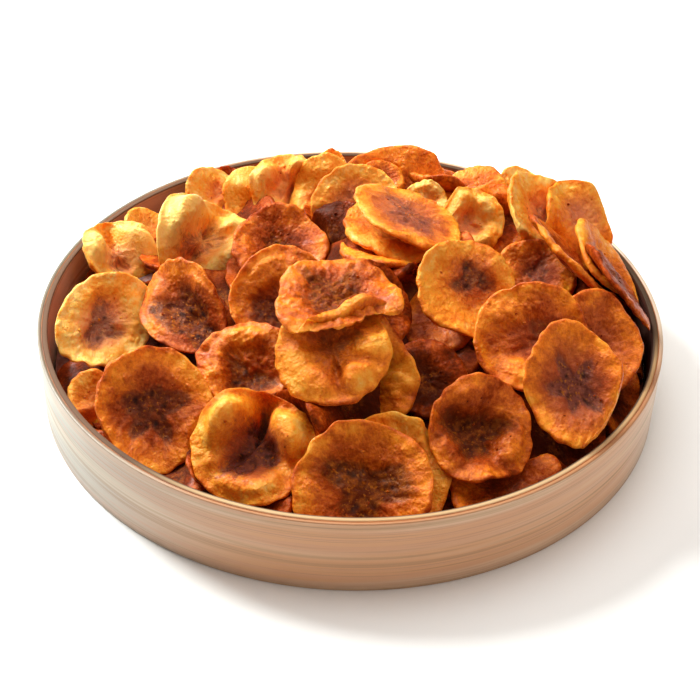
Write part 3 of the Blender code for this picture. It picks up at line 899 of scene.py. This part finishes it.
class Waves:
    """A smooth random field over a slice, from plane waves; its mean square is one."""

    def __init__(self, draw, count, low, high):
        self.waves = [(draw.uniform(0.0, math.tau), draw.uniform(low, high) * math.pi,
                       draw.uniform(0.0, math.tau)) for _ in range(count)]

    def at(self, across, along):
        field = np.zeros_like(across)
        for turn, pitch, phase in self.waves:
            field += np.cos(pitch * (across * math.cos(turn) + along * math.sin(turn)) + phase)
        return field * math.sqrt(2.0 / len(self.waves))


class RingWaves:
    """A wavy value round a slice, from waves that close on themselves."""

    def __init__(self, draw, low, high):
        self.waves = [(count, draw.uniform(0.4, 1.0), draw.uniform(0.0, math.tau))
                      for count in range(low, high + 1)]

    def at(self, angle):
        field = np.zeros_like(angle)
        for count, weight, phase in self.waves:
            field += weight * np.cos(count * angle + phase)
        return field / math.sqrt(len(self.waves))


def towards(angle, turn, spread):
    """One where an angle meets a turn, falling away over a spread of degrees."""
    off = np.angle(np.exp(1j * (angle - math.radians(turn))))
    return np.exp(-(off / math.radians(spread)) ** 2)


class Slice:
    """One fried slice: where it lies and how it has fried, at any place on it.

    Places on a slice are shares of its half width, before it is stretched.
    """

    def __init__(self, name, number, piece, width, stretch, form, placing, tone, core):
        draw = random.Random(number)
        self.name = name
        self.number = number
        self.piece = piece
        self.folds = form == "fold"
        self.half_thickness = (BLADE_THICKNESS if form == "blade" else SLICE_THICKNESS) / 2.0
        self.form = FORMS[form]
        self.half_width = width / 2.0
        self.stretch = stretch
        self.placing = placing
        self.out_of = placing.inverted()
        self.middle = placing.translation
        self.facing = placing.to_3x3() @ Vector((0.0, 0.0, 1.0))
        self.tone = tone
        self.core_strength = core
        self.own = draw.uniform(0.0, 1.0)
        self.outline_bends = RingWaves(draw, 2, 5)
        self.outline_nicks = RingWaves(draw, 7, 22)
        self.ruffles = RingWaves(draw, 4, 7)
        self.bends = Waves(draw, 10, 0.8, 2.0)
        self.ring_lumps = RingWaves(draw, 2, 5)
        self.lumps = Waves(draw, 14, 2.0, 4.0)
        self.crust = Waves(draw, 26, 4.5, 9.0)
        self.grain = Waves(draw, 30, 9.0, 14.0)
        self.rim_knots = RingWaves(draw, 14, 30)
        self.creases = RingWaves(draw, 9, 26)
        self.core_bends = RingWaves(draw, 2, 6)
        self.core_arms = draw.choice((3, 3, 4))
        self.core_turn = draw.uniform(0.0, 360.0)
        self.core_size = draw.uniform(0.30, 0.42)
        core = (self.core_size, self.core_arms, self.core_turn, 1.0,
                draw.uniform(-0.12, 0.12), draw.uniform(-0.12, 0.12), draw.uniform(0.0, 0.9))
        (self.core_size, self.core_arms, self.core_turn, self.core_length,
         self.core_across, self.core_along, self.violet) = CORES.get(name, core)
        self.seeds = self.make_seeds(draw)
        self.blisters = [(0.95 * math.sqrt(draw.uniform(0.02, 1.0)), draw.uniform(0.0, math.tau),
                          draw.uniform(0.035, 0.10), draw.uniform(0.3, 1.0))
                         for _ in range(BLISTER_COUNT)]

    def make_seeds(self, draw):
        """Where seeds lie round the middle of the core, with the size of each."""
        count = draw.choice((4, 5, 6))
        start = draw.uniform(0.0, math.tau)
        seeds = []
        for index in range(count):
            turn = start + (index + draw.uniform(-0.25, 0.25)) * math.tau / count
            for _ in range(draw.choice((1, 2))):
                reach = self.core_size * draw.uniform(0.45, 0.80)
                turn += draw.uniform(-0.2, 0.2)
                seeds.append((self.core_across + reach * math.cos(turn),
                              self.core_along + reach * math.sin(turn), draw.uniform(0.03, 0.055)))
        return seeds

    def seed_share(self, across, along):
        """One on a seed and nothing between them."""
        share = np.zeros_like(across)
        for seed_across, seed_along, size in self.seeds:
            gap = np.hypot(across - seed_across, along - seed_along) / size
            share = np.maximum(share, np.exp(-gap ** 4))
        return share

    def halo_share(self, across, along):
        """How far the stain has spread round the core."""
        gap = np.hypot(across - self.core_across, along - self.core_along) / self.core_size
        return smooth(2.1, 0.6, gap)

    def sheet(self, across, along):
        """Height of the middle of the slice's thickness."""
        radius, angle = polar(across, along)
        edge = radius * radius
        ruffle = self.form["ruffle"]
        height = self.form["dish"] * edge * edge
        height += self.form["saddle"] * edge * np.cos(2.0 * angle + self.number)
        height += ruffle * edge * np.cos(self.form["waves"] * angle + 2.0 * self.number)
        height += 0.5 * ruffle * edge * radius * self.ruffles.at(angle)
        return height + SHEET_BEND * self.bends.at(across, along)

    def core_share(self, across, along):
        """One in the sunken core and nothing outside it, along its uneven star."""
        across = across - self.core_across
        along = along - self.core_along
        radius, angle = polar(across, along)
        turn = math.radians(self.core_turn)
        long_way = (across * math.cos(turn) + along * math.sin(turn)) / self.core_length
        short_way = along * math.cos(turn) - across * math.sin(turn)
        arms = 1.0 + 0.24 * np.cos(self.core_arms * (angle - turn))
        reach = self.core_size * arms * (1.0 + 0.28 * self.core_bends.at(angle))
        share = smooth(1.25, 0.55, np.hypot(long_way, short_way) / reach)
        for turn, spread, _ in VALLEYS.get(self.name, ()):
            valley = towards(angle, turn, 0.8 * spread) * smooth(1.0, 0.40, radius)
            share = np.maximum(share, valley * smooth(0.05, 0.25, radius))
        return share

    def swelling(self, across, along):
        """How far the upper face swells out of an even thickness."""
        radius, angle = polar(across, along)
        lobes = LOBES.get(self.name, ())
        puff = self.form["puff"] * (0.45 if lobes else 1.0)
        ring = np.exp(-((radius - 0.70) / 0.24) ** 2)
        height = puff * ring * (1.0 + 0.5 * self.ring_lumps.at(angle))
        lobe_ring = np.exp(-((radius - 0.62) / 0.27) ** 2)
        for turn, spread, lobe_height in lobes:
            height += lobe_height * smooth(0.10, 0.85, towards(angle, turn, spread) * lobe_ring)
        for turn, spread, depth in VALLEYS.get(self.name, ()):
            height -= depth * towards(angle, turn, spread) * smooth(0.0, 0.3, radius)
        return height - self.form["sink"] * self.core_share(across, along)

    def relief(self, across, along):
        """Lumps, creases and blisters of the crust."""
        crust = self.form["crust"]
        radius, angle = polar(across, along)
        height = 0.011 * self.lumps.at(across, along)
        height += 0.012 * self.creases.at(angle) * smooth(0.68, 0.92, radius)
        height += crust * (np.abs(self.crust.at(across, along)) - 0.8)
        height += 0.22 * crust * self.grain.at(across, along)
        for spot_radius, spot_turn, size, share in self.blisters:
            gap = np.hypot(across - spot_radius * math.cos(spot_turn),
                           along - spot_radius * math.sin(spot_turn)) / size
            height += share * self.form["blister"] * np.exp(-gap * gap)
        return height

    def thickness(self, across, along):
        """Half of the slice's thickness; the rim is a knotty bead."""
        radius, angle = polar(across, along)
        bead = np.exp(-((radius - 0.93) / 0.07) ** 2)
        plain = self.half_thickness / self.half_width
        return plain * (0.85 + 0.25 * radius + bead * (0.06 + 0.14 * self.rim_knots.at(angle)))

    def fried(self, flat):
        """Where the blank's points go, and how deep each lies in the relief, for painted shade."""
        across = flat[:, 0]
        along = flat[:, 1]
        side = flat[:, 2] / BLANK_HALF_THICKNESS
        radius, angle = polar(across, along)
        inner = 1.0 - radius ** 8
        swelling = self.swelling(across, along)
        relief = self.relief(across, along)
        height = self.sheet(across, along) + side * self.thickness(across, along)
        share = np.where((side > 0.0) | (swelling < 0.0), 1.0, UNDERSIDE_SHARE)
        height += share * swelling * inner * np.abs(side)
        height += np.where(side > 0.0, 1.0, -0.7) * relief * np.abs(side)
        ragged = self.form["ragged"] * radius ** 3
        bends = self.outline_bends.at(angle) + 0.5 * self.outline_nicks.at(angle)
        outline = 1.0 + ragged * bends
        # How deep a place lies, kept for painted shade in hollows and painted light on swellings
        lift = swelling / (0.10 + self.form["puff"]) + 6.0 * relief
        depth = np.clip(0.5 - 0.5 * lift, 0.0, 1.0)
        across = across * outline
        along = along * outline
        if self.folds:
            along, height = folded(along, height)
        return across, along, height, depth

    def placed(self, across, along, height):
        """The slice's own places in the world."""
        own = np.stack((across * self.stretch, along, height)) * self.half_width
        matrix = np.array(self.placing)
        return (matrix[:3, :3] @ own + matrix[:3, 3:4]).T

    def own_places(self, points):
        """Places in the world as the slice's own."""
        matrix = np.array(self.out_of)
        own = (matrix[:3, :3] @ points.T + matrix[:3, 3:4]) / self.half_width
        return own[0] / self.stretch, own[1], own[2]

    def lies_over(self, other):
        """Whether this slice reaches over another one, and lies above it."""
        apart = self.middle - other.middle
        reach = (self.half_width + other.half_width) * SLICE_REACH
        if other is self or apart.length > reach:
            return False
        return apart.dot(self.facing + other.facing) > 0.0

    def tuck_under(self, points):
        """Bend what would cut through this slice from below back beneath it."""
        across, along, height = self.own_places(points)
        under_it = smooth(1.10, 0.96, np.hypot(across, along))
        underside = self.sheet(across, along) - self.thickness(across, along)
        underside += np.minimum(self.swelling(across, along), 0.0)
        allowed = underside - SLICE_GAP / self.half_width
        over = np.clip(height - allowed, 0.0, None) * smooth(TUCK_END, TUCK_FULL, height)
        return self.placed(across, along, height - over * under_it)


def folded(along, height):
    """Roll what lies past the fold line up and back over the slice."""
    past = np.maximum(FOLD_LINE - along, 0.0)
    bend_length = FOLD_BEND * FOLD_ANGLE
    angle = np.minimum(past, bend_length) / FOLD_BEND
    straight = np.maximum(past - bend_length, 0.0)
    lifted = FOLD_BEND * (1.0 - np.cos(angle)) + straight * math.sin(FOLD_ANGLE)
    back = FOLD_BEND * np.sin(angle) + straight * math.cos(FOLD_ANGLE)
    rolled = past > 0.0
    new_along = np.where(rolled, FOLD_LINE - back - height * np.sin(angle), along)
    new_height = np.where(rolled, lifted + height * np.cos(angle), height)
    return new_along, new_height


def slice_placing(x, y, z, lean, toward, spin):
    """Where a slice goes: spun on itself, then leant towards a side, then moved."""
    place = Matrix.Translation((x, y, z))
    heading = Matrix.Rotation(math.radians(toward + 90.0), 4, "Z")
    tilt = Matrix.Rotation(math.radians(lean), 4, "X")
    return place @ heading @ tilt @ Matrix.Rotation(math.radians(spin), 4, "Z")


def listed_slices():
    """The slices that show, from the list."""
    slices = []
    for number, (name, row) in enumerate(SLICES.items()):
        x, y, z, width, lean, toward, form, tone, core, *shape = row
        stretch, spin = shape or (1.0, 0.0)
        placing = slice_placing(x * MM, y * MM, z * MM, lean, toward, spin)
        slices.append(Slice(name, number, FORMS[form]["piece"], width * MM, stretch, form,
                            placing, tone, core))
    return slices


def buried_slices():
    """The layer under them, spread over the mound by a spiral."""
    draw = random.Random(LAYOUT_SEED)
    slices = []
    for index in range(BURIED_COUNT):
        radius = BURIED_REACH * math.sqrt((index + 0.5) / BURIED_COUNT)
        angle = index * GOLDEN_TURN
        x = radius * math.cos(angle)
        y = radius * math.sin(angle)
        lying = Vector((0.0, 0.0, 1.0)).rotation_difference(mound_normal(x, y))
        turn = draw.uniform(0.0, math.tau)
        axis = Vector((math.cos(turn), math.sin(turn), 0.0))
        tilt = Matrix.Rotation(math.radians(draw.uniform(*BURIED_TILTS)), 4, axis)
        place = Matrix.Translation((x, y, mound_height(x, y) + BURIED_LIFT))
        placing = place @ tilt @ lying.to_matrix().to_4x4()
        form = "cup" if index % 2 else "flat"
        width = BURIED_WIDTH * draw.uniform(*BURIED_WIDTHS)
        number = BURIED_FIRST_NUMBER + index
        slices.append(Slice(f"buried_{index}", number, "buried_slices", width, 1.0, form,
                            placing, draw.uniform(*BURIED_SHADE_TONES), draw.uniform(*BURIED_CORES)))
    return slices


@functools.lru_cache(maxsize=None)
def all_slices():
    return listed_slices() + buried_slices()


def held_in_tray(points):
    """Ease points that reach the hoop back inside it, and keep them off the floor."""
    start = HEAP_RADIUS - TRAY_GAP - TRAY_EASING
    radius = np.hypot(points[:, 0], points[:, 1])
    over = np.maximum(radius - start, 0.0)
    eased = start + TRAY_EASING * (1.0 - np.exp(-over / TRAY_EASING))
    share = np.where(radius > start, eased / np.maximum(radius, 1.0e-6), 1.0)
    points[:, 0] *= share
    points[:, 1] *= share
    points[:, 2] = np.maximum(points[:, 2], HEAP_BOTTOM + TRAY_GAP)
    return points


def make_blank(sides, top_rings, bottom_rings):
    """The flat round slice that every fried one starts from, one unit in radius."""
    deselect_all()
    bpy.ops.mesh.primitive_cylinder_add(
        vertices=sides, radius=1.0, depth=2.0 * BLANK_HALF_THICKNESS, end_fill_type="NGON")
    blank = bpy.context.object
    add_bevel(blank, BLANK_ROUNDING, 4)
    apply_modifiers(blank)
    for up, rings in ((1.0, top_rings), (-1.0, bottom_rings)):
        ring_end(blank, up, rings, 1.0 - BLANK_ROUNDING)
    return blank


def crumb_places():
    """Where crumbs lie on the bare parts of the listed slices, round their cores."""
    draw = random.Random(LAYOUT_SEED + 1)
    listed = listed_slices()
    places = []
    for piece in listed:
        over = [other for other in listed if other.lies_over(piece)]
        for _ in range(CRUMBS_A_SLICE):
            radius = CRUMB_SPREAD * math.sqrt(draw.random())
            turn = draw.uniform(0.0, math.tau)
            across = CORE_PULL * piece.core_across + radius * math.cos(turn)
            along = CORE_PULL * piece.core_along + radius * math.sin(turn)
            flat = np.array([[across, along, BLANK_HALF_THICKNESS]])
            place = piece.placed(*piece.fried(flat)[:3])
            shares = [np.hypot(*other.own_places(place)[:2])[0] for other in over]
            if not shares or min(shares) > SLICE_REACH:
                places.append((piece, place[0], draw.uniform(*CRUMB_SIZES)))
    return places


def paint(mesh, name, values):
    """Give a mesh a colour attribute, from one value or one for each point."""
    layer = mesh.color_attributes.new(name=name, type="FLOAT_COLOR", domain="POINT")
    layer.data.foreach_set("color", np.broadcast_to(values, (len(mesh.vertices), 4)).ravel())


def placed_mesh(name, mesh):
    """A new object in the scene for a mesh."""
    mesh.update()
    made = bpy.data.objects.new(name, mesh)
    bpy.context.scene.collection.objects.link(made)
    return made


def make_crumb(lump, number, piece, place, size):
    """A copy of the lump, made uneven, turned and set on its slice."""
    draw = random.Random(number)
    waves = Waves(draw, 6, 0.5, 1.2)
    points = points_of(lump.data)
    swelling = waves.at(points[:, 0] + points[:, 2], points[:, 1])
    points *= (1.0 + CRUMB_UNEVENNESS * swelling)[:, None]
    angle = draw.uniform(0.0, math.tau)
    turn = Matrix.Rotation(angle, 3, Vector((1.0, draw.random(), draw.random())))
    points *= np.array((1.0, draw.uniform(0.6, 1.0), draw.uniform(0.45, 0.8))) * size
    points = (np.array(piece.placing.to_3x3() @ turn) @ points.T).T + place
    mesh = lump.data.copy()
    mesh.vertices.foreach_set("co", points.ravel())
    paint(mesh, "fry", (piece.tone + draw.uniform(*CRUMB_TONES), 0.0, 0.5, draw.random()))
    paint(mesh, "stain", (0.0, 0.0, 0.0, 0.0))
    return placed_mesh(f"crumb_{number}", mesh)


def make_slice(blank, piece):
    """A copy of the blank, fried and laid in its place, with its map and its fry."""
    flat = points_of(blank.data)
    across, along, height, depth = piece.fried(flat)
    points = piece.placed(across, along, height)
    for other in all_slices():
        if other.lies_over(piece):
            points = other.tuck_under(points)
    mesh = blank.data.copy()
    mesh.vertices.foreach_set("co", held_in_tray(points).ravel())
    corners = np.empty(len(mesh.loops), dtype=np.int32)
    mesh.loops.foreach_get("vertex_index", corners)
    flat_map = mesh.uv_layers.new(name="slice")
    flat_map.data.foreach_set("uv", (flat[corners, :2] * 0.5 + 0.5).ravel())
    values = np.empty((len(flat), 4))
    values[:, 0] = piece.tone
    if piece.folds:
        rolled = smooth(FOLD_TONE_FROM, FOLD_TONE_TO, flat[:, 1])
        values[:, 0] += (FOLD_TONE - piece.tone) * rolled
    values[:, 1] = piece.core_strength * piece.core_share(flat[:, 0], flat[:, 1])
    values[:, 2] = depth
    values[:, 3] = piece.own
    paint(mesh, "fry", values)
    values[:, 0] = piece.violet
    values[:, 1] = piece.seed_share(flat[:, 0], flat[:, 1]) * values[:, 1]
    values[:, 2] = piece.halo_share(flat[:, 0], flat[:, 1])
    values[:, 3] = piece.core_strength
    paint(mesh, "stain", values)
    return placed_mesh(piece.name, mesh)


def join_fried(made, piece_name):
    """Join what has been made into one piece of fried banana."""
    deselect_all()
    for one in made:
        one.select_set(True)
    bpy.context.view_layer.objects.active = made[0]
    bpy.ops.object.join()
    joined = bpy.context.object
    for old_map in [layer for layer in joined.data.uv_layers if layer.name != "slice"]:
        joined.data.uv_layers.remove(old_map)
    bpy.ops.object.shade_smooth()
    finish_piece(joined, piece_name, fried_banana(bpy.context.scene.chip_settings))
    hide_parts("chips_heap")


def lay_slices(piece_name):
    """Make all slices of one piece from a blank of their own, and join them."""
    blank = make_blank(*BLANKS[piece_name])
    made = [make_slice(blank, one) for one in all_slices() if one.piece == piece_name]
    bpy.data.objects.remove(blank, do_unlink=True)
    join_fried(made, piece_name)


class CHIPS_OT_cupped(bpy.types.Operator):
    """Lay the slices that have cupped"""
    bl_idname = "chips.cupped"
    bl_label = "Cupped slices"

    def execute(self, context):
        lay_slices("cupped_slices")
        return {"FINISHED"}


class CHIPS_OT_puffed(bpy.types.Operator):
    """Lay the slices that have puffed up"""
    bl_idname = "chips.puffed"
    bl_label = "Puffed slices"

    def execute(self, context):
        lay_slices("puffed_slices")
        return {"FINISHED"}


class CHIPS_OT_curled(bpy.types.Operator):
    """Lay the slices that have curled"""
    bl_idname = "chips.curled"
    bl_label = "Curled slices"

    def execute(self, context):
        lay_slices("curled_slices")
        return {"FINISHED"}


class CHIPS_OT_flat(bpy.types.Operator):
    """Lay the slices that have stayed flat"""
    bl_idname = "chips.flat"
    bl_label = "Flat slices"

    def execute(self, context):
        lay_slices("flat_slices")
        return {"FINISHED"}


class CHIPS_OT_folded(bpy.types.Operator):
    """Lay the slice with the folded lip"""
    bl_idname = "chips.folded"
    bl_label = "Folded slice"

    def execute(self, context):
        lay_slices("folded_slice")
        return {"FINISHED"}


class CHIPS_OT_buried(bpy.types.Operator):
    """Spread the layer of slices under those that show"""
    bl_idname = "chips.buried"
    bl_label = "Buried slices"

    def execute(self, context):
        lay_slices("buried_slices")
        return {"FINISHED"}


class CHIPS_OT_crumbs(bpy.types.Operator):
    """Scatter the crumbs of crust on the slices"""
    bl_idname = "chips.crumbs"
    bl_label = "Crumbs"

    def execute(self, context):
        deselect_all()
        bpy.ops.mesh.primitive_ico_sphere_add(subdivisions=2, radius=1.0)
        lump = bpy.context.object
        made = [make_crumb(lump, number, *place) for number, place in enumerate(crumb_places())]
        bpy.data.objects.remove(lump, do_unlink=True)
        join_fried(made, "crumbs")
        return {"FINISHED"}


class CHIPS_OT_mound(bpy.types.Operator):
    """Raise the mound, dark with painted shade, that closes the gaps between the slices"""
    bl_idname = "chips.mound"
    bl_label = "Mound"

    def execute(self, context):
        deselect_all()
        bpy.ops.mesh.primitive_cylinder_add(
            vertices=MOUND_SIDES, radius=HEAP_RADIUS - MOUND_SIDE_GAP, depth=1.0,
            end_fill_type="NGON")
        mound = bpy.context.object
        ring_end(mound, 1.0, MOUND_RINGS, HEAP_RADIUS)
        for vertex in mound.data.vertices:
            if vertex.co.z > 0.0:
                vertex.co.z = mound_height(vertex.co.x, vertex.co.y)
            else:
                vertex.co.z = HEAP_BOTTOM + MOUND_FLOOR_GAP
        bpy.ops.object.shade_smooth_by_angle(angle=MOUND_SMOOTHING)
        finish_piece(mound, "mound", mound_painted_shade())
        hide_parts("chips_heap")
        return {"FINISHED"}


# The stage

def set_camera(scene):
    """Look down along +Y, pitched, rolled and shifted as fitted to the tray."""
    pitch = math.radians(CAMERA_PITCH)
    roll = math.radians(CAMERA_ROLL)
    forward = Vector((0.0, math.cos(pitch), -math.sin(pitch)))
    level_right = Vector((1.0, 0.0, 0.0))
    level_up = level_right.cross(forward)
    right = level_right * math.cos(roll) + level_up * math.sin(roll)
    up = level_up * math.cos(roll) - level_right * math.sin(roll)
    place = Vector((0.0, 0.0, AIM_HEIGHT)) - CAMERA_DISTANCE * forward
    place += CAMERA_SHIFT_RIGHT * right + CAMERA_SHIFT_UP * up
    lens = bpy.data.cameras.new("camera")
    lens.lens = LENS
    lens.sensor_width = SENSOR
    camera = bpy.data.objects.new("camera", lens)
    turn = Matrix((right, up, -forward)).transposed().to_4x4()
    camera.matrix_world = Matrix.Translation(place) @ turn
    scene.collection.objects.link(camera)
    scene.camera = camera


def area_light(name, place, aim, width, power, colour):
    light = bpy.data.lights.new(name, "AREA")
    light.shape = "DISK"
    light.size = width
    light.energy = power
    light.color = colour
    lamp = bpy.data.objects.new(name, light)
    lamp.location = place
    lamp.rotation_euler = (Vector(aim) - Vector(place)).to_track_quat("-Z", "Y").to_euler()
    bpy.context.scene.collection.objects.link(lamp)


class CHIPS_OT_stage(bpy.types.Operator):
    """Set the floor, the lights and the camera"""
    bl_idname = "chips.stage"
    bl_label = "Stage"

    def execute(self, context):
        stage = context.scene.stage_settings
        deselect_all()
        bpy.ops.mesh.primitive_plane_add(size=STAGE_FLOOR_SIZE, location=(0.0, 0.0, 0.0))
        floor = bpy.context.object
        floor.name = "floor"
        nodes = Nodes("pale floor")
        floor.data.materials.append(nodes.finish(
            Base_Color=stage.floor_colour, Roughness=0.9, Specular_IOR_Level=0.1))
        for name, (place, aim, width, colour) in LIGHTS.items():
            area_light(name, place, aim, width, getattr(stage, f"{name}_power"), colour)
        world = bpy.data.worlds.new("studio")
        world.use_nodes = True
        background = world.node_tree.nodes["Background"]
        background.inputs["Color"].default_value = (1.0, 1.0, 1.0, 1.0)
        background.inputs["Strength"].default_value = stage.sky
        context.scene.world = world
        context.scene.view_settings.view_transform = "Standard"
        set_camera(context.scene)
        return {"FINISHED"}


class CHIPS_PT_panel(bpy.types.Panel):
    """Settings and steps, in the sidebar of the 3D view"""
    bl_idname = "CHIPS_PT_panel"
    bl_label = "Banana chips"
    bl_space_type = "VIEW_3D"
    bl_region_type = "UI"
    bl_category = "Banana chips"

    def draw(self, context):
        for group in SETTINGS:
            box = self.layout.box()
            settings = getattr(context.scene, group)
            for key in settings.__annotations__:
                box.prop(settings, key)
        for operator in OPERATORS:
            self.layout.operator(operator.bl_idname)


OPERATORS = (
    CHIPS_OT_stage, TRAY_OT_outer_hoop, TRAY_OT_inner_hoop, TRAY_OT_glue_seam,
    TRAY_OT_floor_panel, CHIPS_OT_mound, CHIPS_OT_buried, CHIPS_OT_cupped,
    CHIPS_OT_puffed, CHIPS_OT_curled, CHIPS_OT_flat, CHIPS_OT_folded,
    CHIPS_OT_crumbs,
)
SETTINGS = {
    "tray_settings": TraySettings,
    "chip_settings": ChipSettings,
    "stage_settings": StageSettings,
}
CLASSES = (*SETTINGS.values(), *OPERATORS, CHIPS_PT_panel)


def register():
    for thing in CLASSES:
        bpy.utils.register_class(thing)
    for name, group in SETTINGS.items():
        setattr(bpy.types.Scene, name, bpy.props.PointerProperty(type=group))


def unregister():
    for name in SETTINGS:
        delattr(bpy.types.Scene, name)
    for thing in reversed(CLASSES):
        bpy.utils.unregister_class(thing)


def main():
    register()
    for operator in OPERATORS:
        group, name = operator.bl_idname.split(".")
        getattr(getattr(bpy.ops, group), name)()


if __name__ == "__main__":
    main()
